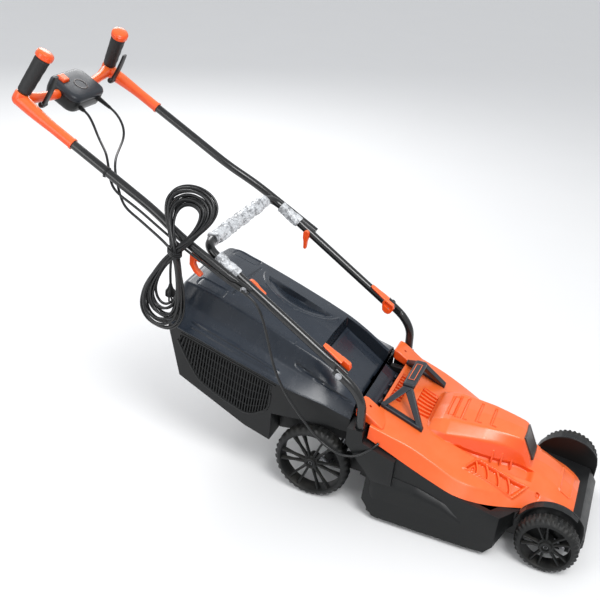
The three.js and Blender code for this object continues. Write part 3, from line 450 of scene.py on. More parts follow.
def box(name, x0, x1, y0, y1, z0, z1):
    only()
    centre = at((x0 + x1) / 2, (y0 + y1) / 2, (z0 + z1) / 2)
    size = ((x1 - x0) * MM, (y1 - y0) * MM, (z1 - z0) * MM)
    bpy.ops.mesh.primitive_cube_add(size=1, location=centre, scale=size)
    piece = bpy.context.active_object
    piece.name = name
    bpy.ops.object.transform_apply(location=True, rotation=True, scale=True)
    return piece


def frame_of(direction):
    """Two directions square to one another and to the given one."""
    along = Vector(direction).normalized()
    side = Vector((1, 0, 0)) if abs(along.x) < 0.8 else Vector((0, 1, 0))
    first = (side - along * side.dot(along)).normalized()
    return along, first, along.cross(first)


def outwards(first, second, angle):
    return first * math.cos(angle) + second * math.sin(angle)


def turned(name, start, end, profile, steps=32, shape=None):
    """A turned piece from start to end; the profile is (share of the length, radius) points."""
    start, end = Vector(start), Vector(end)
    along, first, second = frame_of(end - start)
    length = (end - start).length
    rows = []
    for share, radius in profile:
        ring = []
        for i in range(steps):
            angle = 2 * math.pi * i / steps
            reach = radius * (shape(angle, share) if shape else 1.0)
            ring.append(tuple(start + along * (length * share) + outwards(first, second, angle) * reach))
        rows.append(ring)
    return skin(name, rows)


def bent(points, bend, steps=7):
    """Straight runs joined by short round bends."""
    points = [Vector(p) for p in points]
    path = [points[0]]
    for i in range(1, len(points) - 1):
        back, on = points[i - 1] - points[i], points[i + 1] - points[i]
        reach = min(bend, back.length / 2.1, on.length / 2.1)
        a, b = points[i] + back.normalized() * reach, points[i] + on.normalized() * reach
        for k in range(steps + 1):
            t = k / steps
            path.append(a * (1 - t) ** 2 + points[i] * (2 * t * (1 - t)) + b * t * t)
    return [*path, points[-1]]


def flowing(points, per=6):
    """A smooth line through the points."""
    p = [Vector(q) for q in points]
    p = [p[0] * 2 - p[1], *p, p[-1] * 2 - p[-2]]
    line = []
    for i in range(1, len(p) - 2):
        for k in range(per):
            t = k / per
            line.append(
                (p[i] * 2 + (p[i + 1] - p[i - 1]) * t
                 + (p[i - 1] * 2 - p[i] * 5 + p[i + 1] * 4 - p[i + 2]) * t * t
                 + (p[i] * 3 - p[i - 1] - p[i + 1] * 3 + p[i + 2]) * t ** 3) / 2)
    return [*line, p[-2]]


def pipe(name, path, radius, steps=20, clamp=None, caps=True):
    """A round rod along a path, with an optional change to each point of its surface."""
    path = [Vector(p) for p in path]
    along = (path[1] - path[0]).normalized()
    _, first, _ = frame_of(along)
    rows = []
    for i, point in enumerate(path):
        before, after = path[max(i - 1, 0)], path[min(i + 1, len(path) - 1)]
        tangent = (after - before).normalized()
        first = (first - tangent * first.dot(tangent)).normalized()
        second = tangent.cross(first)
        size = radius(i / (len(path) - 1)) if callable(radius) else radius
        ring = []
        for k in range(steps):
            angle = 2 * math.pi * k / steps
            spot = point + outwards(first, second, angle) * size
            ring.append(tuple(clamp(spot) if clamp else spot))
        rows.append(ring)
    return skin(name, rows, caps=caps)


def smooth(value, low=0.0, high=1.0):
    t = np.clip((np.asarray(value, float) - low) / (high - low), 0, 1)
    return t * t * (3 - 2 * t)


# Cords: the mains lead with its tied hank, and the motor cable in two lengths.

HANK_LIMIT = -275
HANK_TIE = Vector((-259, 958, 606))
LOBES = (((-172, 944, 742), (-0.84, -0.3, 0.46), 153, 46), ((-256, 1004, 392), (-1, 0, 0), 207, 45))
TURNS = 13
LEAD_POINTS = [
    (40, 1318.9, 809.2), (40, 1304, 800), (37, 1286, 783), (26, 1270, 765), (2, 1256, 750), (-36, 1242, 742),
    (-80, 1222, 741), (-124, 1201, 741), (-158, 1181, 726), (-182, 1158, 702), (-206, 1134, 680),
    (-230, 1106, 671), (-245, 1078, 667), (-252, 1046, 655), (-256, 1010, 636),
]
UPPER_CABLE_POINTS = [
    (-32, 1349.4, 811.6), (-34, 1336, 804), (-46, 1316, 790), (-66, 1292, 774), (-92, 1264, 764),
    (-120, 1234, 757), (-148, 1208, 750), (-174, 1186, 718), (-202, 1160, 700), (-216, 1126, 690),
    (-219, 1090, 676), (-222, 1050, 656), (-229, 1004, 634), (-230, 950, 606), (-230, 900, 582),
    (-230, 850, 556), (-230, 815, 541), (-230, 800, 536),
]
LOWER_CABLE_POINTS = [
    (-230, 797, 534.5), (-230, 786, 532), (-230, 764, 520), (-230, 744, 496), (-230, 728, 452),
    (-230, 713, 402), (-230, 703, 368), (-230, 686, 330), (-230, 662, 292), (-230, 633, 258),
    (-230, 602, 226), (-230, 570, 196), (-230, 540, 178), (-230, 508, 171), (-230, 483, 175),
    (-229, 466, 184), (-226, 451, 195), (-219, 438, 206), (-212, 431, 213), (-205, 426, 217),
]
PLUG_TOP = Vector((-224, 985, 500))


def hank_points():
    """The turns of the hank: a teardrop above the tie and one below it, strand beside strand."""
    points = []
    spread = [(u - 2, v - 2) for v in range(5) for u in range(5)]
    for turn in range(TURNS):
        share, layer = turn * 5 % TURNS / (TURNS - 1), turn // 3 - 2
        for half in (1, 0):
            tip, facing, reach, width = LOBES[half]
            along = (Vector(tip) - HANK_TIE).normalized()
            across = Vector(facing).cross(along).normalized()
            normal = along.cross(across)
            side = 1 if half == 0 else -1
            u, v = spread[(turn * 2 + half) % len(spread)]
            points.append(HANK_TIE + Vector((u * 4.7, v * 5.2 * 0.8, v * 2.0)) + along * (-3))
            for k in range(1, 10):
                t = math.pi * k / 10
                sway = noise.noise(Vector((turn * 1.7, half * 5.1, k * 0.45))) * 8
                a = (reach * (0.76 + 0.28 * share) + sway * 0.6) * math.sin(t)
                w = -(width * (0.68 + 0.62 * share) + sway * 1.4) * math.sin(2 * t) * side
                n = layer * 7.4 * (0.4 + 0.6 * math.sin(t)) + sway
                spot = HANK_TIE + along * a + across * w + normal * n
                points.append(Vector((max(spot.x, HANK_LIMIT), spot.y, spot.z)))
    return points


def eased_line(line, times=14):
    """Takes the sharpness out of a dense line without moving its ends."""
    for _ in range(times):
        line = [line[0], *[(a + b * 2 + c) / 4 for a, b, c in zip(line, line[1:], line[2:])], line[-1]]
    return line


def cord(name, points, body, length, far_end, lay, pieces, *nodes, per=5):
    line = eased_line(flowing(points, per))
    curve = bpy.data.curves.new(name, "CURVE")
    curve.dimensions = "3D"
    curve.bevel_depth = CORD_R * MM
    curve.bevel_resolution = 3
    curve.use_fill_caps = True
    spline = curve.splines.new("POLY")
    spline.points.add(len(line) - 1)
    for knot, point in zip(spline.points, line):
        knot.co = (*at(*point), 1)
    piece = placed(name, curve)
    curve.materials.append(SHEATH)
    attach(piece, body)
    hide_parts(*nodes)
    tuple(at(*line[0]))


def line_length(points, per=5):
    line = eased_line(flowing(points, per))
    return sum((b - a).length for a, b in zip(line, line[1:])) * MM


def mains_plug():
    """A moulded plug hanging among the strands, its pins pointing down."""
    x, y = PLUG_TOP.x, PLUG_TOP.y
    body = skin("plug_body", [
        [(x + a * math.cos(math.radians(t)), y + b * math.sin(math.radians(t)), z) for t in range(0, 360, 15)]
        for a, b, z in [(3.8, 3.8, 501), (5.5, 5.5, 494), (7.5, 8, 488), (11.5, 12, 483), (12.3, 12.6, 476),
                        (12.3, 12.6, 470), (10, 10, 468)]])
    tip = [(0, 2.2), (0.9, 2.2), (1, 1.4)]
    pins = [turned(f"plug_pin_{i}", (x + dx, y, 468.5), (x + dx, y, 455), tip, 12)
            for i, dx in enumerate((-6, 6))]
    plug = joined("mains_plug_moulding", body, *pins)
    return dress(plug, "upper_handle", "black_plastic", DECK, "mains_plug")


plug = mains_plug()
LEAD_ROUTE = [*LEAD_POINTS, *hank_points(), HANK_TIE + Vector((4, 8, -4)), Vector((-250, 972, 570)),
              Vector((-236, 980, 535)), PLUG_TOP]
lead_length = line_length(LEAD_ROUTE)
upper_length = line_length(UPPER_CABLE_POINTS)
lower_length = line_length(LOWER_CABLE_POINTS)
cord("motor_cable_upper_flex", UPPER_CABLE_POINTS, "upper_handle", round(upper_length, 2), "object",
     "loose", [], "motor_cable_upper")
cord("motor_cable_lower_flex", LOWER_CABLE_POINTS, "deck", round(lower_length, 2), "object",
     "loose", [], "motor_cable_lower")
cord("mains_lead_flex", LEAD_ROUTE, "upper_handle", round(lead_length, 1), "plug", "coiled", [plug],
     "mains_lead", "mains_hank")


# Moulded covers, drawn as rows of points across the machine.


def eased(table, places):
    """Smooth curves through rows of (place, values...)."""
    table = np.array(sorted(table), float)
    knots, values = table[:, 0], table[:, 1:]
    slopes = np.gradient(values, knots, axis=0)
    i = np.clip(np.searchsorted(knots, places) - 1, 0, len(knots) - 2)
    h = (knots[i + 1] - knots[i])[:, None]
    t = ((places - knots[i]) / h[:, 0])[:, None]
    rise = slopes[i] * h * (t ** 3 - 2 * t ** 2 + t) + slopes[i + 1] * h * (t ** 3 - t ** 2)
    return values[i] * (2 * t ** 3 - 3 * t ** 2 + 1) + values[i + 1] * (3 * t ** 2 - 2 * t ** 3) + rise


def columns(keys, counts):
    """Splits each row between its key points; keys is (rows, keys, 2) of width and height."""
    parts = []
    for k, count in enumerate(counts):
        t = (np.arange(count) / count)[None, :, None]
        parts.append(keys[:, k:k + 1] * (1 - t) + keys[:, k + 1:k + 2] * t)
    return np.concatenate([*parts, keys[:, -1:]], axis=1)


def key_points(*pairs):
    """Rows of key points from pairs of a width and a height in every row."""
    return np.stack([np.stack(pair, axis=-1) for pair in pairs], axis=1)


def relax(points, times, axis):
    """Rounds the creases of a grid along one of its directions."""
    points = np.moveaxis(points, axis, 0).copy()
    for _ in range(times):
        points[1:-1] = (points[:-2] + 2 * points[1:-1] + points[2:]) / 4
    return np.moveaxis(points, 0, axis)


def both_sides(half, places):
    """Whole rows of (x, y, z) from half rows of (width, height)."""
    y = np.repeat(places[:, None], half.shape[1], axis=1)
    right = np.stack([-half[..., 0], y, half[..., 1]], axis=-1)
    left = np.stack([half[..., 0], y, half[..., 1]], axis=-1)
    return np.concatenate([right[:, ::-1], left[:, 1:]], axis=1)


def pressed(grid, depth):
    """Moves a grid of points inwards along its own normals by a depth at each point."""
    across, along = np.gradient(grid, axis=1), np.gradient(grid, axis=0)
    normal = np.cross(across, along)
    normal /= np.maximum(np.linalg.norm(normal, axis=-1, keepdims=True), 1e-9)
    normal *= np.sign(normal[..., 2:3] + 1e-3)
    return grid - normal * depth[..., None]


def closed_below(grid, drop):
    """Turns the edges of a grid in and closes the rows underneath."""
    first, last = grid[:, :1].copy(), grid[:, -1:].copy()
    for edge, side in ((first, 1), (last, -1)):
        edge[..., 0] += side * 5
        edge[..., 2] -= drop
    return np.concatenate([first, grid, last], axis=1)


def inside(x, y, corners):
    """How far each point lies inside a convex outline, negative outside."""
    depth = np.full(np.shape(x), 1e9)
    middle = np.mean(corners, axis=0)
    for (x0, y0), (x1, y1) in zip(corners, corners[1:] + corners[:1]):
        nx, ny = y1 - y0, x0 - x1
        size = math.hypot(nx, ny)
        sign = 1 if (middle[0] - x0) * nx + (middle[1] - y0) * ny > 0 else -1
        depth = np.minimum(depth, sign * ((x - x0) * nx + (y - y0) * ny) / size)
    return depth


def round_box(x, y, centre, half, corner):
    """Distance outside a rounded rectangle, negative inside."""
    dx = np.abs(x - centre[0]) - half[0] + corner
    dy = np.abs(y - centre[1]) - half[1] + corner
    return np.hypot(np.maximum(dx, 0), np.maximum(dy, 0)) + np.minimum(np.maximum(dx, dy), 0) - corner


def hollow(distance, depth, edge=1.5):
    return depth * (1 - smooth(distance, -edge, edge))


def resting(grid, x, y, lift=0.0):
    """The point of a moulded surface at a given place, raised straight off it."""
    places = grid[:, 0, 1]
    low = int(np.clip(np.searchsorted(places, y) - 1, 0, len(places) - 2))
    gap = places[low + 1] - places[low]
    share = (y - places[low]) / gap
    here = [np.interp(x, row[:, 0], row[:, 2]) for row in grid[low:low + 2]]
    beside = [np.interp(x + 1, row[:, 0], row[:, 2]) for row in grid[low:low + 2]]
    normal = Vector((here[0] - beside[0], (here[0] - here[1]) / gap, 1)).normalized()
    return Vector((x, y, here[0] * (1 - share) + here[1] * share)) + normal * lift


def rib(name, grid, run, half, low, high):
    """A moulded rib that follows a line of (x, y) places across a surface."""
    rows = []
    for i, (x, y) in enumerate(run):
        x0, y0 = run[max(i - 1, 0)]
        x1, y1 = run[min(i + 1, len(run) - 1)]
        size = math.hypot(x1 - x0, y1 - y0)
        nx, ny = (y1 - y0) / size * half, (x0 - x1) / size * half
        rows.append([tuple(resting(grid, x + k * nx, y + k * ny, lift))
                     for k, lift in ((-1, low), (-0.75, high), (0.75, high), (1, low))])
    return soften(skin(name, rows), 0.9, 2, 40)


COVER = [
    (457, 203, 222, 193, 250, 112, 264, 266), (405, 204, 202, 190, 236, 111, 246, 248),
    (355, 205, 182, 185, 221, 108, 227, 229), (290, 204, 156, 182, 192, 106, 210, 214),
    (227, 201, 134, 177, 162, 92, 193, 197), (187, 190, 124, 166, 151, 82, 184, 190),
    (150, 174, 117, 148, 140, 70, 176, 182), (112, 152, 110, 122, 132, 58, 171, 176),
    (80, 132, 105, 99, 137, 50, 163, 168), (30, 112, 99, 86, 124, 46, 147, 152),
    (-10, 96, 94, 78, 112, 42, 124, 129), (-34, 82, 90, 68, 101, 36, 109, 112),
    (-42, 72, 89, 60, 97, 30, 103, 105),
]
BUMP = [
    (356, 92, 86, 222, 58, 232, 0), (344, 93, 88, 222, 60, 233, 0.1), (334, 95, 91, 224, 62, 236, 1),
    (310, 100, 95, 226, 66, 246, 1), (290, 103, 98, 226, 66, 250, 1), (200, 86, 79, 226, 54, 249, 1),
    (150, 70, 64, 218, 46, 244, 1), (120, 60, 55, 208, 42, 239, 1), (110, 57, 52, 203, 41, 234, 1),
    (86, 50, 46, 172, 39, 186, 1), (76, 48, 44, 160, 38, 170, 0),
]


def motor_cover():
    y = np.arange(-42, 457.1, 2.0)
    w0, z0, w1, z1, w2, z2, zc = eased(COVER, y).T
    bump = np.array(sorted(BUMP), float)
    wb, wt, zt, wtt, ztt, raised = [np.interp(y, bump[:, 0], bump[:, k]) for k in range(1, 7)]
    outer = np.maximum(w2, wb + 3)

    def base(width):
        return np.array([np.interp(w, (0, b, c, d), (e, f, g, h))
                         for w, b, c, d, e, f, g, h in zip(width, w2, w1, w0, zc, z2, z1, z0)])

    def lifted(width, height):
        low = base(width)
        return low + raised * np.maximum(height - low, 0)

    middle = np.zeros_like(y)
    keys = key_points(
        (middle, lifted(middle, ztt + 3)), (wtt, lifted(wtt, ztt)), (wt, lifted(wt, zt)),
        (wb, base(wb)), (outer, base(outer)), (w1, z1), (w0, z0))
    half = relax(columns(keys, (28, 8, 9, 4, 42, 12)), 1, 1)
    half = relax(half, 1, 0)
    grid = both_sides(half, y)
    x, rows = grid[..., 0], grid[..., 1]
    wide = np.abs(x)
    foot = np.interp(rows, bump[:, 0], bump[:, 1])
    limit = np.interp(rows, (75, 201, 290), (76, 99, 101))
    depth = 13 * smooth(290 - rows, 2, 80) * smooth(limit - wide, 0, 3) * smooth(wide - foot, -0.5, 1)
    depth *= smooth(rows, 66, 82)
    scoop = inside(wide, rows, [(140, 228), (99, 204), (90, 74), (128, 102)])
    depth += 8.0 * smooth(scoop, 3.5, 6.0)
    depth -= 2.6 * smooth(scoop, -2.5, -0.5) * (1 - smooth(scoop, 1.5, 3.5))
    screw = np.hypot(wide - 123, rows - 203)
    depth += hollow(screw - 3, 5, 1)
    depth += hollow(round_box(x, rows, (0, 366), (57, 21), 5), 5.5, 1.2)
    depth += hollow(round_box(x, rows, (0, 434), (61, 13), 4), 5.5, 1.2)
    for place, reach in ((304, 44), (286, 50), (266, 50), (230, 44), (194, 40)):
        across = (np.abs(rows - place) < 2.1) & (wide < reach)
        turn = (np.abs(x + reach) < 2.2) & (rows < place + 2) & (rows > place - 13)
        depth += 3.0 * (across | turn)
    depth += 2.5 * ((rows > 287) & (rows < 303) & (wide < 44))
    depth += 1.2 * ((rows > 267) & (rows < 285) & (wide < 50))
    pocket = round_box(x, rows, (0, -12), (48, 15), 6)
    depth -= 1.8 * (1 - smooth(np.abs(pocket) - 1.6, -0.8, 0.8))
    depth += hollow(pocket + 3, 1.2, 1)
    depth += hollow(np.hypot(wide - 92, rows - 47) - 4.5, 5, 1)
    top = pressed(grid, depth)
    shell = skin("cover_shell", closed_below(top, 1.5))
    parts = [shell]
    for i in range(-3, 4):
        run = [(i * 15, 346), (i * 16, 366), (i * 17, 386)]
        parts.append(rib(f"front_louvre_{i}", grid, run, 3.4, -6, 0.4))
    for i in range(-4, 4):
        place = i * 14.5 + 7.2
        parts.append(rib(f"rear_louvre_{i}", grid, [(place, 422), (place, 446)], 3.2, -6, 0.4))
    for side in (1, -1):
        for k, place in enumerate((199, 171, 143, 115)):
            run = []
            for t in np.linspace(-0.06, 1.06, 7):
                row = place + 13 * (1 - t) ** 2 - 6
                near = np.interp(row, (74, 204), (93, 102))
                far = np.interp(row, (102, 228), (125, 137))
                run.append((side * (near + (far - near) * t), row))
            parts.append(rib(f"vane_{side}_{k}", grid, run, 3.0, -8.6, 0.2))
        profile = [(425, 236), (442, 238), (497, 259), (497, 286.5),
                   (484, 284), (462, 270.5), (440, 255.5), (425, 246)]
        xs = (124, 185) if side > 0 else (-185, -124)
        ear = soften(prism(f"ear_{side}", profile, *xs), 6, 4, 40)
        hole = turned(
            f"hole_{side}", (side * 150, 470, 285), (side * 150, 474, 262), [(0, 3.6), (1, 3.6)], 20)
        cut(ear, hole)
        parts.append(ear)
        for place in (172, 150, 126):
            w = float(np.interp(place, bump[:, 0], bump[:, 1]))
            z = 190 if place > 160 else 184 if place > 140 else 172
            fin = skin(f"fin_{side}_{place}", [
                [(side * (w - 8), place - 3, z - 14), (side * (w - 8), place + 3, z - 14),
                 (side * (w - 8), place + 3, z + 16), (side * (w - 8), place - 3, z + 16)],
                [(side * (w + 5), place - 2.2, z - 16), (side * (w + 5), place + 2.2, z - 16),
                 (side * (w - 2), place + 2.2, z + 13), (side * (w - 2), place - 2.2, z + 13)]])
            parts.append(soften(fin, 0.8, 2))
    dress(joined("motor_cover_moulding", *parts), "deck", "orange", ORANGE, "motor_cover", angle=32)


motor_cover()


def cover_badge():
    """A dark insert on the front slope of the motor hump, with a plain raised border."""
    outline = [(-33, 113, 233.5), (33, 113, 233.5), (31, 84, 176.5), (-31, 84, 176.5)]
    lifted = [(x, y - 6.3, z + 3.4) for x, y, z in outline]
    sunk = [(x, y + 3, z - 1.6) for x, y, z in outline]
    plate = skin("badge_plate", [sunk, lifted])
    only(plate)
    bpy.ops.object.mode_set(mode="EDIT")
    bpy.ops.mesh.select_all(action="DESELECT")
    bpy.ops.object.mode_set(mode="OBJECT")
    front = min(plate.data.polygons, key=lambda face: face.normal.y - face.normal.z)
    front.select = True
    bpy.ops.object.mode_set(mode="EDIT")
    bpy.ops.mesh.inset(thickness=0.004, depth=0)
    bpy.ops.mesh.inset(thickness=0.0012, depth=-0.001)
    bpy.ops.object.mode_set(mode="OBJECT")
    soften(plate, 0.5, 2, 25)
    dress(plate, "deck", "black_plastic", BADGE)


cover_badge()


# Carry handle: a bar between two A-shaped legs, on feet along the slope of the cover.


def carry_handle():
    parts = [soften(box("bar", -64, 64, 391, 421, 297, 312), 5, 4)]
    parts.append(soften(box("bar_plate", -44, 44, 396, 416, 311.0, 312.9), 0.8, 2))
    rules = []
    for line in (-1, 1):
        rules.append(box(f"rule_{line}", -41, 41, 406 + line * 7 - 0.8, 406 + line * 7 + 0.8, 312.4, 313.3))
        rules.append(box(f"end_rule_{line}", line * 40 - 0.8, line * 40 + 0.8, 399, 413, 312.4, 313.3))
    dress(joined("carry_bar_rules", *rules), "deck", "orange", ORANGE)
    for side in (1, -1):
        low, high = (344, 226), (455, 267)
        foot = skin(f"foot_{side}", [
            [(side * (112 + a), y, z + b) for a, b in ((-8, -4), (8, -4), (8, 6), (-8, 6))]
            for y, z in (low, (352, 230), (447, 264), high)])
        parts.append(soften(foot, 2.5, 3))
        for start in ((350, 231), (449, 268)):
            lean = 1 if start[0] < 400 else -1
            rows = []
            for t in (0, 0.5, 1):
                x = side * (112 - t * 52)
                y, z = start[0] + (406 - start[0]) * t, start[1] + (304 - start[1]) * t
                a, b = 9 - 1.0 * t, 7.0 + 4.5 * t
                rows.append([(x - side * a * 0.6, y - b, z - 4), (x + side * a, y - b, z + 2),
                             (x + side * a, y + b, z + 2), (x - side * a * 0.6, y + b, z - 4)])
            parts.append(soften(skin(f"leg_{side}_{lean}", rows), 2, 3))
        parts += [turned(f"foot_screw_{side}_{y}", (side * 112, y, z), (side * 112, y - 2, z + 3),
                         [(0, 4), (0.8, 4), (1, 3)], 16) for y, z in ((362, 238.5), (437, 265.5))]
    handle = joined("carry_handle_moulding", *parts)
    dress(handle, "deck", "black_plastic", SLATE, "carry_handle")


carry_handle()


# Deck.


SKIRT_BOTTOM = 15
SKIRT_SWELL = 14.5
SKIRT_FACE = 203.0
SKIRT_LIMIT = 205.0
WELL_R = 85


def skirt(body, side):
    """The flared lower skirt: it swells out below a curved crease and rounds off at both ends."""
    outer, inner = [], []
    last = SKIRT_FACE
    for y in np.linspace(142, 432, 59):
        crest = float(np.interp(y, (142, 165, 200, 250, 320, 375, 432), (52, 62, 84, 108, 126, 132, 134)))
        ends = min(y - 141, 433 - y, 22) / 22
        round_off = math.sqrt(max(0.0, 1 - (1 - ends) ** 2))
        swollen, flat = [], []
        for t in np.linspace(0, 1, 15):
            z = SKIRT_BOTTOM + (crest - SKIRT_BOTTOM) * float(t)
            found, spot, _, _ = body.ray_cast(at(side * 250, y, z), Vector((-side, 0, 0)))
            last = min(abs(spot.x) / MM, SKIRT_LIMIT) if found and abs(spot.x) / MM > 150 else last
            share = float(np.interp(t, (0, 0.1, 0.5, 0.8, 0.93, 1), (0.6, 0.9, 1, 0.9, 0.75, 0)))
            swell = SKIRT_SWELL * round_off * share
            swollen.append((side * (last + swell), y, z))
            flat.append((side * (last - 4), y, z))
        outer.append(swollen)
        inner.append(flat)
    rows = np.concatenate([np.array(outer), np.array(inner)[:, ::-1]], axis=1)
    rows[..., 0] = relax(relax(rows[..., 0:1], 2, 0), 1, 1)[..., 0]
    return skin(f"skirt_{side}", rows)


def deck():
    body = copied("deck_body", "deck_shell", 3.0, 3, 24)
    skirts = [skirt(body, side) for side in (-1, 1)]
    for side in (-1, 1):
        clear = box("wheel_room", *sorted((side * 166, side * 240)), -100, 84, 10, 230)
        cut(body, clear)
    cheeks = [soften(box(f"cheek_{side}", *sorted((side * 106.5, side * 123.6)), 456, 498, 172, 247), 3, 3)
              for side in (-1, 1)]
    arc = [(WELL_R * math.cos(t), FRONT_R + WELL_R * math.sin(t))
           for t in np.radians(np.linspace(10, 148, 30))]
    outline = [(82, 60), *arc, (-76, 100), (-76, 60)]
    wells = [soften(prism(f"wheel_well_{side}", outline, side * 143, side * 149.6), 1.5, 2)
             for side in (-1, 1)]
    piece = joined("deck_moulding", body, *skirts, *cheeks, *wells)
    dress(piece, "deck", "black_plastic", DECK, "deck_shell", angle=34)


deck()


# Wheels.


def wheel(name, radius, y, side, spokes=6):
    """A lugged tyre and a hub, joined by pairs of spokes; the wheel stands on the ground."""
    lugs = 72
    inner, outer = 167.5, 209.8
    z = radius
    steps = lugs * 2
    rows = []
    outline = [
        (radius - 17, inner + 3), (radius - 6, inner + 1), (radius - 2, inner + 5), (radius, inner + 9),
        (radius, 188), (radius, outer - 12), (radius - 3, outer - 7), (radius - 8, outer - 3),
        (radius - 11, outer - 1), (radius - 15, outer - 1), (radius - 17, outer - 4),
        (radius - 18, inner + 16),
    ]
    for k in range(steps):
        angle = 2 * math.pi * k / steps
        ring = []
        for i, (r, x) in enumerate(outline):
            lug = (1.6 if k % 4 in (0, 1) else -1.6) if 3 <= i <= 6 else 0
            if 3 <= i <= 4:
                lug = (1.6 if (k + 2) % 4 in (0, 1) else -1.6)
            reach = min(r + lug - 1.7, radius - 0.1)
            ring.append((side * x, y + reach * math.cos(angle), z + reach * math.sin(angle)))
        rows.append(ring)
    rows.append(rows[0])
    tyre = skin(f"{name}_tyre", rows, caps=False)
    start, end = (side * 170, y, z), (side * 209.5, y, z)
    hub = turned(f"{name}_hub", start, end, [
        (0, 15), (0.55, 15), (0.6, 19), (0.78, 19), (0.82, 15), (0.97, 14.2), (1, 12.5), (1, 9), (0.9, 8.4),
        (0.9, 4.2), (0.98, 3.6), (0.98, 0.4)], 36)
    parts = [tyre, hub]
    rim = radius - 16
    for i in range(spokes):
        middle = 2 * math.pi * i / spokes
        for lean in (-1, 1):
            near, far = middle + lean * 0.20, middle + lean * (0.17 if spokes == 6 else 0.2)
            bar = []
            stations = (
                (12, near, 4.2, 193, 203), (rim * 0.6, (near + far) / 2, 3.0, 194, 202),
                (rim + 3, far, 4.0, 191, 206))
            for r, angle, half, x0, x1 in stations:
                cy, cz = y + r * math.cos(angle), z + r * math.sin(angle)
                ny, nz = -math.sin(angle) * half, math.cos(angle) * half
                bar.append([
                    (side * x0, cy - ny, cz - nz), (side * x0, cy + ny, cz + nz),
                    (side * x1, cy + ny * 0.6, cz + nz * 0.6), (side * x1, cy - ny * 0.6, cz - nz * 0.6)])
            parts.append(soften(skin(f"{name}_spoke_{i}_{lean}", bar), 0.9, 2, 40))
    piece = joined(f"{name}_moulding", *parts)
    dress(piece, name, "wheel_plastic", WHEEL, name, angle=40)


for word, side in SIDES:
    wheel(f"front_wheel_{word}", FRONT_R, 0, side, 5)
    wheel(f"rear_wheel_{word}", REAR_R, WHEELBASE, side)


# Grass box: lid, hinged guard in its front, and the lower box with slotted sides.

LID_TABLE = [
    (508, 184, 247, 161, 272, 120, 284, 286), (540, 185, 255, 161, 280, 120, 304, 306),
    (572, 186, 264, 161, 289, 121, 324, 328), (620, 194, 277, 161, 305, 124, 348, 354),
    (670, 201, 290, 161, 320, 126, 367, 376), (755, 203, 314, 160, 349, 127, 397, 409),
    (840, 203, 337, 158, 377, 127, 425, 438), (920, 203, 360, 157, 403, 127, 449, 462),
    (975, 202, 374, 155, 421, 126, 461, 473), (998, 198, 381, 150, 427, 119, 459, 469),
    (1008, 191, 384, 145, 427, 110, 450, 459),
]


def guard_plane(y):
    return GUARD_HINGE[1] + (y - GUARD_HINGE[0]) * math.tan(math.radians(GUARD_SLOPE))


def lid_detail(x, rows):
    """Depth of the marks moulded into the lid."""
    wide = np.abs(x)
    carry = 98.7 - np.hypot(x - 99.7, rows - 756)
    chord = 70 - x + (rows - 756) * 0.02
    depth = 15 * smooth(carry, 0, 4) * smooth(chord, 0, 3) * (0.35 + 0.65 * smooth(carry, 0, 60))
    ridge = np.abs(carry + 13) - 1.4
    depth -= 1.8 * (1 - smooth(ridge, -0.8, 0.8)) * smooth(chord + 14, 0, 8)
    for side in (-1, 1):
        pocket = round_box(x, rows, (side * 103, 932), (16, 37), 8)
        depth += 2.4 * (1 - smooth(np.abs(pocket) - 1.5, -0.8, 0.8))
        depth += 1.2 * (1 - smooth(pocket, -3, -1))
    line = np.abs(wide - np.interp(rows, (510, 680), (158, 151)))
    depth += 3.2 * (1 - smooth(line, 1.2, 3.0)) * smooth(rows, 512, 520) * (1 - smooth(rows, 668, 676))
    for place in (180, 189):
        line = np.abs(wide - place)
        depth -= 2.0 * (1 - smooth(line, 1.2, 3.0)) * smooth(rows, 700, 712) * (1 - smooth(rows, 940, 952))
    notch = smooth(wide, 108, 112) * (1 - smooth(wide, 124, 126))
    depth += 1.6 * (1 - smooth(np.abs(rows - 690), 1.4, 2.6)) * notch
    seam = smooth(90 - wide, 0, 4) * smooth(-x, -200, -10)
    depth += 2.5 * (1 - smooth(np.abs(rows - 882), 1.2, 3.0)) * seam
    return depth


def box_lid():
    y = np.arange(508, 1008.1, 2.5)
    w0, z0, w1, z1, w2, z2, zc = eased(LID_TABLE, y).T
    top = np.interp(108, (0, 126), (0, 1)) * (z2 - zc) + zc
    keys = key_points(
        (np.zeros_like(y), zc), (np.full_like(y, 108), top), (w2, z2), (w1, z1), (w0, z0))
    half = relax(relax(columns(keys, (40, 7, 15, 18)), 1, 1), 2, 0)
    grid = both_sides(half, y)
    grid = pressed(grid, lid_detail(grid[..., 0], grid[..., 1]))
    wide, rows = np.abs(grid[..., 0]), grid[..., 1]
    floor_level = guard_plane(rows) - 3.2
    recess = (wide < 107.5) & (rows < 633)
    grid[..., 2] = np.where(recess, np.minimum(grid[..., 2], floor_level), grid[..., 2])
    shell = skin("lid_shell", closed_below(grid, 0.5))
    lip = []
    for side in (-1, 1):
        edge = [(side * w, py, pz) for py, w, pz in zip(y[::4], w0[::4], z0[::4])]
        lip.append(pipe(f"lid_lip_{side}", edge, 2.4, 10))
    lid = joined("box_lid_moulding", shell, *lip)
    dress(lid, "grass_box", "lid_plastic", LID, "box_lid", angle=28)


box_lid()


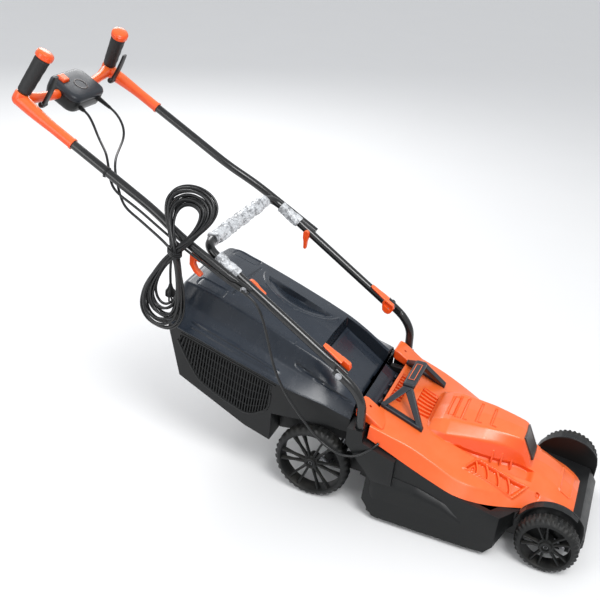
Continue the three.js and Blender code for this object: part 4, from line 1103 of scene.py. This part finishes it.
def rear_guard():
    """The hinged guard, lying in the lid's recess: a stiffened plate with a finger slot and knuckles."""
    half, length, lean = 103.5, 184, math.radians(GUARD_SLOPE)
    rows = []
    for along in np.linspace(1, length, 47):
        ring = []
        for x in np.linspace(-half, half, 53):
            edge = min(half - abs(x), along, length - along)
            bead = 1.6 * float(smooth(edge, 1, 4) * (1 - smooth(edge, 8, 11)))
            bead += 1.2 * float((1 - smooth(abs(abs(x) - 60) - 3, -1, 1)) * smooth(edge, 14, 18))
            slot = round_box(np.array(x), np.array(along), (8, 46), (13, 5), 2)
            drop = 2.6 * float(1 - smooth(slot, -1.2, 1.2))
            y, z = on_guard(along, 0.6 + bead * 0.5 - drop)
            ring.append((x, y, z))
        rows.append(ring)
    top = np.array(rows)
    under = top.copy()
    normal = np.array([0, -math.sin(lean), math.cos(lean)])
    distance = (under - np.array([0, *GUARD_HINGE])) @ normal
    under -= (distance + 2.0)[..., None] * normal
    plate = skin("guard_plate", np.concatenate([top, under[:, ::-1]], axis=1))
    barrel = [(0, 5), (0.06, 6), (0.94, 6), (1, 5)]
    knuckles = [turned(f"knuckle_{x}", (x, *GUARD_HINGE), (x + 26, *GUARD_HINGE), barrel, 20)
                for x in (-104, -58, -13, 32, 78)]
    guard = joined("rear_guard_moulding", plate, *knuckles)
    dress(guard, "rear_guard", "lid_plastic", LID, "rear_guard")


rear_guard()

SPLIT = [(508, 247), (572, 264), (670, 291), (840, 338), (975, 375), (1010, 385)]


def split_height(y):
    return np.interp(y, [p[0] for p in SPLIT], [p[1] for p in SPLIT])


MESH_FOOT = [
    (716, 214), (742, 198), (770, 187), (806, 198), (845, 214), (880, 228), (905, 246), (928, 274),
    (948, 306), (966, 340),
]
MESH_MARGIN = 17


def lattice(name, side):
    """The slotted side: a grid of cells with their middles cut out."""
    only()
    bpy.ops.mesh.primitive_grid_add(x_subdivisions=34, y_subdivisions=5, size=1)
    piece = bpy.context.active_object
    piece.name = name
    bpy.ops.object.mode_set(mode="EDIT")
    bpy.ops.mesh.select_all(action="SELECT")
    bpy.ops.mesh.inset(thickness=0.0058, use_individual=True)
    bpy.ops.object.mode_set(mode="OBJECT")
    for polygon in piece.data.polygons:
        polygon.select = len(polygon.vertices) == 4 and polygon.area > 0.0022
    bpy.ops.object.mode_set(mode="EDIT")
    bpy.ops.mesh.delete(type="FACE")
    bpy.ops.object.mode_set(mode="OBJECT")
    for vertex in piece.data.vertices:
        u, v = vertex.co.x + 0.5, vertex.co.y + 0.5
        y = 715 + u * 250
        bottom = np.interp(y, [p[0] for p in MESH_FOOT], [p[1] for p in MESH_FOOT])
        z = bottom + (split_height(y) - MESH_MARGIN - bottom) * v
        vertex.co = at(side * 203.2, y - (v - 0.5) * 10, z)
    use(piece, "SOLIDIFY", thickness=0.0022, offset=0)
    return settle(piece)


def box_lower():
    body = copied("box_lower_body", "box_lower", 4.0, 3, 24)
    for side in (-1, 1):
        outline = [*MESH_FOOT, *((y, float(split_height(y)) - MESH_MARGIN) for y in (966, 716))]
        recess = prism("mesh_recess", outline, side * 197.5, side * 214)
        cut(body, recess)
    rear = skin("rear_grip", [
        [(x, 991.4, 334), (x, 1020, 330), (x, 1024, 362), (x, 1000, 362)] for x in (-70, 70)])
    cut(body, rear)
    parts = [body]
    for share in (0.1, 0.22, 0.34, 0.46):
        y, z = 965 + 45 * share, 238 + 145 * share
        parts.append(pipe(f"rear_rib_{share}", [(-150, y, z), (0, y, z), (150, y, z)], 2.6, 8))
    for side in (-1, 1):
        border = [(side * 203.6, y, z) for y, z in bent_profile(
            [(712, 262), (714, 216), (768, 182), (845, 208), (908, 238), (948, 296), (972, 340)], 22)]
        parts.append(pipe(f"mesh_border_{side}", border, 2.6, 8))
        for drop in (5, 11):
            run = [(side * 203.4, y, float(split_height(y)) - drop) for y in range(700, 975, 12)]
            parts.append(pipe(f"rail_{side}_{drop}", run, 1.7, 8))
    tub = joined("box_lower_moulding", *parts)
    dress(tub, "grass_box", "black_plastic", BOX, "box_lower", angle=32)


def bent_profile(points, bend):
    return [(p.x, p.y) for p in bent([(a, b, 0) for a, b in points], bend, 5)]


box_lower()
for word, side in SIDES:
    dress(lattice(f"side_mesh_{word}", side), "grass_box", "black_plastic", BOX, f"mesh_panel_{word}")


# Handle tubes.


def flattened(limit, joint, reach):
    """Keeps a tube's surface between two planes square to x near a bolted joint."""
    def clamp(point):
        near = math.hypot(point.y - joint[0], point.z - joint[1]) < reach
        inner, outer = limit
        size = abs(point.x)
        if near:
            size = min(max(size, inner), outer)
        return Vector((math.copysign(size, point.x), point.y, point.z))
    return clamp


def straight(points, step=12):
    """Adds points along the straight runs, so that a clamp has something to move."""
    dense = [Vector(points[0])]
    for a, b in zip(points, points[1:]):
        a, b = Vector(a), Vector(b)
        count = max(1, int((b - a).length / step))
        dense += [a + (b - a) * (k / count) for k in range(1, count + 1)]
    return dense


def lower_frame():
    corner, start = on_frame(CROSSBAR_AT), on_frame(-13)
    path = straight(bent([(-LEG_X, *start), (-LEG_X, *corner), (LEG_X, *corner), (LEG_X, *start)], 40, 10))
    frame_tube = pipe("lower_frame_tube", path, TUBE_R, 24, flattened((0, 197.9), LOWER_JOINT, 34))
    dress(frame_tube, "lower_frame", "tube_paint", PAINT, "lower_frame", angle=50)


lower_frame()


def bolt(name, joint, inside, outside, side):
    """A bolt across a joint, with a washer and a nut outside."""
    y, z = joint
    spots = [(side * inside, y, z), (side * outside, y, z)]
    shank = turned(f"{name}_shank", *spots, [(0, 4.1), (1, 4.1)], 20)
    washer = turned(f"{name}_washer", (side * outside, y, z), (side * (outside + 1.4), y, z),
                    [(0, 8.5), (0.8, 8.5), (1, 8)], 28)
    head = turned(f"{name}_head", (side * (outside + 1.4), y, z), (side * (outside + 4), y, z),
                  [(0, 7), (0.5, 6.6), (0.8, 4.8), (1, 2)], 6)
    return joined(name, shank, washer, head)


for word, side in SIDES:
    stub_path = straight(bent([
        (side * STUB_X, 474, 212), (side * STUB_X, 479, 312), (side * STUB_X, 503, 347),
        (side * STUB_X, *on_frame(15))], 34, 8))
    stub = pipe(f"stub_tube_{word}_bend", stub_path, TUBE_R, 24, flattened((198.4, 216), LOWER_JOINT, 35))
    dress(stub, "deck", "tube_paint", PAINT, f"stub_tube_{word}", angle=50)
    tube_path = straight(bent([
        (side * UPPER_X, *on_handle(-14)), (side * UPPER_X, *on_handle(196)),
        (side * TUBE_END_X, *on_handle(284)), (side * TUBE_END_X, *on_handle(590))], 55, 10))
    tube = pipe(f"upper_tube_{word}_bend", tube_path, TUBE_R, 24, flattened((202.8, 220.1), UPPER_JOINT, 26))
    dress(tube, "upper_handle", "tube_paint", PAINT, f"upper_tube_{word}", angle=50)
    low_bolt = bolt(f"lower_bolt_{word}_plated", LOWER_JOINT, 170, 216.1, side)
    dress(low_bolt, "lower_frame", "steel", STEEL, f"lower_bolt_{word}")
    high_bolt = bolt(f"upper_bolt_{word}_plated", UPPER_JOINT, 181.5, 220.4, side)
    dress(high_bolt, "lower_frame", "steel", STEEL, f"upper_bolt_{word}")


# Locking levers.


def lower_lever(word, side):
    """Clamp head with a recessed pocket, and a long arm lying along the tube."""
    x0, x1 = 166.5, 179.8
    head = [on_frame(a, u) for a, u in (
        (-13, -4), (-9, -11), (0, -14), (10, -12), (17, -4), (24, 6), (24, 19), (-4, 20.4), (-12, 12))]
    body = soften(prism(f"lever_head_{word}", head, side * x0, side * x1), 2.4, 3)
    recess = [on_frame(a, u) for a, u in ((-6, 2), (14, 2), (18, 8), (18, 15), (-6, 15))]
    pocket = prism(f"lever_pocket_{word}", recess, side * (x0 - 2), side * (x0 + 5))
    cut(body, pocket)
    rows = []
    for along, low, high, half in ((15, 12.2, 19.8, 12.6), (30, 12.0, 19.6, 12.4), (48, 12.0, 18.8, 10.0),
                                   (66, 12.2, 18.2, 9.0), (74, 13.4, 17.4, 7.2)):
        ring = []
        for k in range(20):
            t = 2 * math.pi * k / 20
            c, s = math.cos(t), math.sin(t)
            shape = (abs(c) ** 3 + abs(s) ** 3) ** (-1 / 3)
            x = 180.2 + half * c * shape
            y, z = on_frame(along, (low + high) / 2 + (high - low) / 2 * s * shape)
            ring.append((side * x, y, z))
        rows.append(ring)
    arm = skin(f"lever_arm_{word}", rows)
    lever = joined(f"lower_lever_{word}_moulding", body, arm)
    dress(lever, f"lower_lever_{word}", "orange", ORANGE, f"lower_lever_{word}", angle=40)


def upper_lever(word, side, slope):
    """A flat cam lever beside the leg, waisted in the middle and round at its tip."""
    on_lever = inclined(UPPER_JOINT, slope)
    profile = []
    for k in range(9):
        t = math.radians(90 + 180 * k / 8)
        profile.append(on_lever(-1 + 8 * math.cos(t), 8 * math.sin(t)))
    profile += [on_lever(12, -8), on_lever(22, -5.4), on_lever(36, -4.4)]
    for k in range(7):
        t = math.radians(-90 + 180 * k / 6)
        profile.append(on_lever(40 + 4 * math.cos(t), 4.4 * math.sin(t)))
    profile += [on_lever(36, 4.4), on_lever(22, 5.4), on_lever(12, 8)]
    lever = soften(prism(f"upper_lever_{word}_moulding", profile, side * 169, side * 179.7), 1.6, 3)
    dress(lever, f"upper_lever_{word}", "orange", ORANGE, f"upper_lever_{word}", angle=40)


for word, side, slope in (("left", 1, 270), ("right", -1, 212)):
    lower_lever(word, side)
    upper_lever(word, side, slope)


# Crumpled film left round the frame near its crossbar.


def film(name, path, outer, inner, *nodes):
    path = straight(path, 3.5)
    rows = []
    total = len(path) - 1
    along = (path[-1] - path[0]).normalized()
    _, first, second = frame_of(along)
    for i, point in enumerate(path):
        pinch = 0.78 + 0.22 * math.sin(i * 0.37 + 1) * math.sin(i * 0.11 + 0.4)
        fray = 1 - 0.25 * float(smooth(abs(i / total - 0.5), 0.42, 0.5))
        ring = []
        for k in range(40):
            angle = 2 * math.pi * k / 40
            outward = outwards(first, second, angle)
            spot = point + outward * outer
            fold = noise.noise(spot * 0.075) * 0.5 + noise.noise(spot * 0.2 + Vector((9, 2, 5))) * 0.32
            seam = 0.12 * math.sin(3 * angle + i * 0.21)
            reach = inner + (outer - inner) * max(0.06, min(1.0, 0.62 * pinch * fray + 0.25 + fold + seam))
            ring.append(tuple(point + outward * reach))
        rows.append(ring)
    sleeve = skin(name, rows)
    dress(sleeve, "lower_frame", "wrap_film", FILM, *nodes, angle=28)


film("bar_wrap_film", [(x, *on_frame(CROSSBAR_AT)) for x in (-149, 149)], 19.5, 11.4, "bar_wrap")
for word, side in SIDES:
    leg = [(side * LEG_X, *on_frame(333)), (side * LEG_X, *on_frame(399))]
    film(f"leg_wrap_{word}_film", leg, 17.0, 11.3, f"leg_wrap_{word}")


# Operator's end: grips, triggers, switch box and the fittings of the upper tubes.

GRIP_LEAN = math.radians(13)
SLOPE = math.radians(HANDLE_SLOPE)
HANDLE_UP = Vector((0, -math.sin(SLOPE), math.cos(SLOPE)))
HANDLE_ON = Vector((0, math.cos(SLOPE), math.sin(SLOPE)))


def grip_axis(side):
    base = Vector((side * GRIP_X, *on_handle(711)))
    lean = Vector((-side * math.sin(GRIP_LEAN), 0, 0)) + HANDLE_UP * math.cos(GRIP_LEAN)
    return base, lean


def grip_arm(word, side):
    """Moulded sleeve over the tube's end, swelling to the elbow, with an arm across to the switch box."""
    start = Vector((side * TUBE_END_X, *on_handle(537)))
    elbow = Vector((side * GRIP_X, *on_handle(713)))
    path = bent([start, (side * TUBE_END_X, *on_handle(640)), elbow], 30, 6)
    sleeve = pipe(
        f"sleeve_{word}", straight(path, 8), lambda t: 13.2 + 4.6 * float(smooth(t, 0.35, 0.95)), 28)
    collar = pipe(f"collar_{word}", [start, start + HANDLE_ON * 5], 14.4, 28)
    across = bent([elbow, (side * 150, *on_handle(700)), (side * 86, *on_handle(689)),
                   (side * 68.4, *on_handle(689))], 26, 8)
    arm = pipe(f"across_{word}", across, lambda t: 15.8 - 3.9 * float(smooth(t, 0, 0.55)), 28)
    base, lean = grip_axis(side)
    knuckle = turned(f"knuckle_{word}", base - lean * 17.5, base + lean * 17, [
        (0, 5), (0.06, 10.5), (0.16, 14.6), (0.32, 17.6), (0.55, 18.6), (0.88, 18.6), (0.97, 17.8),
        (1, 16.5)], 32)
    parts = [sleeve, collar, arm, knuckle]
    moulding = joined(f"grip_arm_{word}_moulding", *parts)
    dress(moulding, "upper_handle", "orange", ORANGE, f"grip_arm_{word}", angle=45)


def grip(word, side):
    """Rubber grip with finger swells and a rolled rim under the cap."""
    base, lean = grip_axis(side)

    def swell(angle, share):
        return 1 - 0.05 * (0.5 + 0.5 * math.cos(angle)) * (0.5 - 0.5 * math.cos(share * 8 * math.pi))

    places = (0, 0.04, 0.25, 0.7, 0.93, 0.97, 1)
    radii = (15.4, 17.2, 18.0, 18.8, 19.6, 19.6, 17.5)
    profile = [(float(s), float(np.interp(s, places, radii))) for s in np.linspace(0, 1, 44)]
    piece = turned(f"grip_{word}_rubber", base + lean * 19.6, base + lean * 114.8, profile, 36, swell)
    dress(piece, "upper_handle", "grip_rubber", RUBBER, f"grip_{word}", angle=45)


def grip_cap(word, side):
    base, lean = grip_axis(side)
    profile = [(0, 16.5), (0.04, 20.4), (0.12, 22.0), (0.4, 22.6), (0.62, 22.2), (0.66, 21.0), (0.7, 21.3),
               (0.82, 19.6), (0.92, 15.2), (0.98, 9), (1, 3)]
    piece = turned(f"grip_cap_{word}_dome", base + lean * 115.3, base + lean * 136.2, profile, 40)
    dress(piece, "upper_handle", "orange", ORANGE, f"grip_cap_{word}", angle=50)


def trigger(word, side):
    """Curved paddle in front of the grip, with a pivot boss."""
    paddle = inclined(on_handle(679, 4), 117.8)
    rows = []
    for t in np.linspace(0, 1, 15):
        along = -6 + 90 * t
        middle = 9.5 + 3.0 * math.sin(t * math.pi * 0.9)
        half_deep = 2.6 + 1.6 * (1 - t)
        half_wide = 11 - 2.2 * t ** 3 - 2.0 * (1 - t) ** 3
        ring = []
        for k in range(20):
            a = 2 * math.pi * k / 20
            c, s = math.cos(a), math.sin(a)
            shape = (c ** 4 + s ** 4) ** (-0.25)
            y, z = paddle(along, middle + half_deep * s * shape)
            ring.append((side * (151 + half_wide * c * shape), y, z))
        rows.append(ring)
    blade = skin(f"paddle_{word}", rows)
    y, z = paddle(0, 8)
    boss = turned(f"boss_{word}", (side * 139, y, z), (side * 163, y, z), [
        (0, 5.5), (0.08, 7), (0.92, 7), (1, 5.5)], 24)
    moulding = joined(f"trigger_{word}_moulding", blade, boss)
    dress(moulding, f"trigger_{word}", "black_plastic", DECK, f"trigger_{word}", angle=40)


for word, side in SIDES:
    grip_arm(word, side)
    grip(word, side)
    grip_cap(word, side)
    trigger(word, side)


BOX_AT = 683
BUTTON_X, BUTTON_AT = -34, 709


def switch_ring(half_x, half_along, height, corner):
    """A rounded outline on the switch box, at a height square to the handle."""
    ring = []
    for cx, ca, start in ((1, 1, 0), (-1, 1, 90), (-1, -1, 180), (1, -1, 270)):
        for k in range(7):
            t = math.radians(start + 15 * k)
            x = cx * (half_x - corner) + corner * math.cos(t)
            along = BOX_AT + ca * (half_along - corner) + corner * math.sin(t)
            y, z = on_handle(along, height)
            ring.append((x, y, z))
    return ring


def switch_box():
    lower = skin("switch_box_base", [
        switch_ring(x, a, h, c) for x, a, h, c in (
            (54, 36, -27.8, 16), (60, 42, -26.5, 19), (65, 47, -21, 22), (67.6, 49.6, -8, 24),
            (67.9, 49.9, 5, 24), (67.2, 49.2, 8, 24))])
    upper = skin("switch_box_top_shell", [
        switch_ring(x, a, h, c) for x, a, h, c in (
            (67.4, 49.4, 8.4, 24), (67.9, 49.9, 9.4, 24), (67.6, 49.6, 16, 24), (65.5, 47.5, 20, 23),
            (61, 43, 22.6, 21), (54, 37, 23.8, 18), (30, 20, 24, 12), (6, 5, 24, 4))])
    for shell in (lower, upper):
        well = skin("button_well", [
            [(BUTTON_X + 14 * sx, *on_handle(BUTTON_AT + 14.5 * sy, h)) for sx, sy in CORNERS]
            for h in (-6, 30)])
        cut(shell, well)
    dress(lower, "upper_handle", "black_plastic", DECK, "switch_box_lower", angle=40)
    y, z = on_handle(676, 23.9)
    centre = Vector((0, y, z))
    ring = turned("switch_badge_ring", centre - HANDLE_UP * 0.8, centre + HANDLE_UP * 0.9,
                  [(0, 19), (0.9, 19), (1, 18.4), (1, 16.6), (0.9, 16), (0.4, 16), (0.4, 0.4)], 36)
    top = joined("switch_box_top_moulding", upper)
    dress(top, "upper_handle", "lid_plastic", SLATE, "switch_box_upper", angle=35)
    dress(ring, "upper_handle", "black_plastic", BADGE)
    button = skin("lock_button_moulding", [
        [(BUTTON_X + a * sx, *on_handle(BUTTON_AT + a * sy, h)) for sx, sy in CORNERS]
        for a, h in ((12.4, 12), (12.6, 24), (11.4, 30.6))])
    dress(soften(button, 2.2, 4), "lock_button", "orange", ORANGE, "lock_button")


switch_box()


def relief(name, x, up, start, end, node):
    """Strain relief: a ribbed, tapering sleeve where a cord leaves the switch box."""
    a, b = Vector((x, *on_handle(start, up))), Vector((x, *on_handle(end, up)))
    count = 9
    profile = [(0, 8.2), (0.1, 8.2), (0.12, 6.6)]
    for k in range(count):
        s = 0.14 + 0.84 * k / count
        r = 6.4 - 1.9 * k / count
        profile += [(s, r), (s + 0.035, r), (s + 0.045, r - 0.9), (s + 0.08, r - 0.9)]
    piece = turned(name, a, b, [*profile, (1, 4.0), (1, 3.4)], 20)
    dress(piece, "upper_handle", "black_plastic", DECK, node)


relief("mains_gland_ribbed", 40, 0, 637, 593, "mains_gland")
relief("motor_gland_ribbed", -32, -12, 637, 621, "motor_gland")


def cord_hook():
    profile = [on_handle(a, u) for a, u in (
        (122, -11.7), (152, -11.7), (152, -19), (141, -40), (122, -50), (106, -51), (101, -47), (104, -42.5),
        (120, -40), (131, -32), (135, -20), (123, -19))]
    hook = soften(prism("cord_hook_moulding", profile, -221.4, -206.2), 2.0, 3)
    dress(hook, "upper_handle", "orange", ORANGE, "cord_hook", angle=40)


cord_hook()


def cable_tie():
    a, b = Vector((-197, *on_handle(430))), Vector((-197, *on_handle(435)))
    band = turned("tie_band", a, b, [(0, 11.3), (0, 12.8), (1, 12.8), (1, 11.3)], 28)
    y, z = on_handle(432.5, -13.5)
    head = soften(box("tie_head", -201, -193, y - 4, y + 4, z - 2, z + 3), 0.8, 2)
    dress(joined("upper_tie_band", band, head), "upper_handle", "black_plastic", DECK, "upper_tie")


cable_tie()


def hank_tie():
    """The twisted tie that holds the hank's waist."""
    loops = []
    for k in range(3):
        ring = []
        for i in range(40):
            t = 2 * math.pi * i / 40
            ring.append(HANK_TIE + Vector((0.4, -0.6, 0)) + Vector((
                math.cos(t) * 16.5, math.sin(t) * 17 * 0.94, (k - 1) * 4.2 + math.sin(t) * 6.0)))
        loops.append(pipe(f"tie_loop_{k}", [*ring, ring[0], ring[1]], 1.7, 8))
    dress(joined("hank_tie_wire", *loops), "upper_handle", "cord_sheath", SHEATH)


hank_tie()


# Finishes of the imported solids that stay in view.

for part in frame["record"]["subparts"]:
    solid = frame["nodes"][part["node"]]
    if not solid.hide_render:
        solid.data.materials.clear()
        solid.data.materials.append(FINISH[part["material_slot"]])


only()
bpy.ops.mesh.primitive_plane_add(size=80, location=(0, 0, 0))
floor = bpy.context.active_object
floor.name = "floor"
ground = Recipe("pale_floor", 0.7)
ground.feed(Base_Color=ground.mix(ground.noise(3, 2) * 0.3, rgb(0.86, 0.86, 0.86), rgb(0.8, 0.8, 0.8)))
floor.data.materials.append(ground.material)

world = bpy.data.worlds.new("studio")
world.use_nodes = True
world.node_tree.nodes["Background"].inputs["Color"].default_value = (0.95, 0.97, 1.0, 1)
world.node_tree.nodes["Background"].inputs["Strength"].default_value = 0.72
bpy.context.scene.world = world
bpy.context.scene.view_settings.view_transform = "Standard"


def lamp(name, place, target, size, power):
    light = bpy.data.lights.new(name, "AREA")
    light.shape = "DISK"
    light.size = size
    light.energy = power
    holder = placed(name, light)
    holder.location = place
    holder.rotation_euler = (Vector(target) - Vector(place)).to_track_quat("-Z", "Y").to_euler()


lamp("key_light", (-1.6, -1.6, 3.0), (0, 0, 0.3), 1.6, 75)
lamp("fill_light", (-3.0, 1.6, 1.6), (0, 0, 0.3), 2.2, 32)
lamp("back_light", (2.2, 1.8, 2.2), (0, 0, 0.4), 1.8, 40)
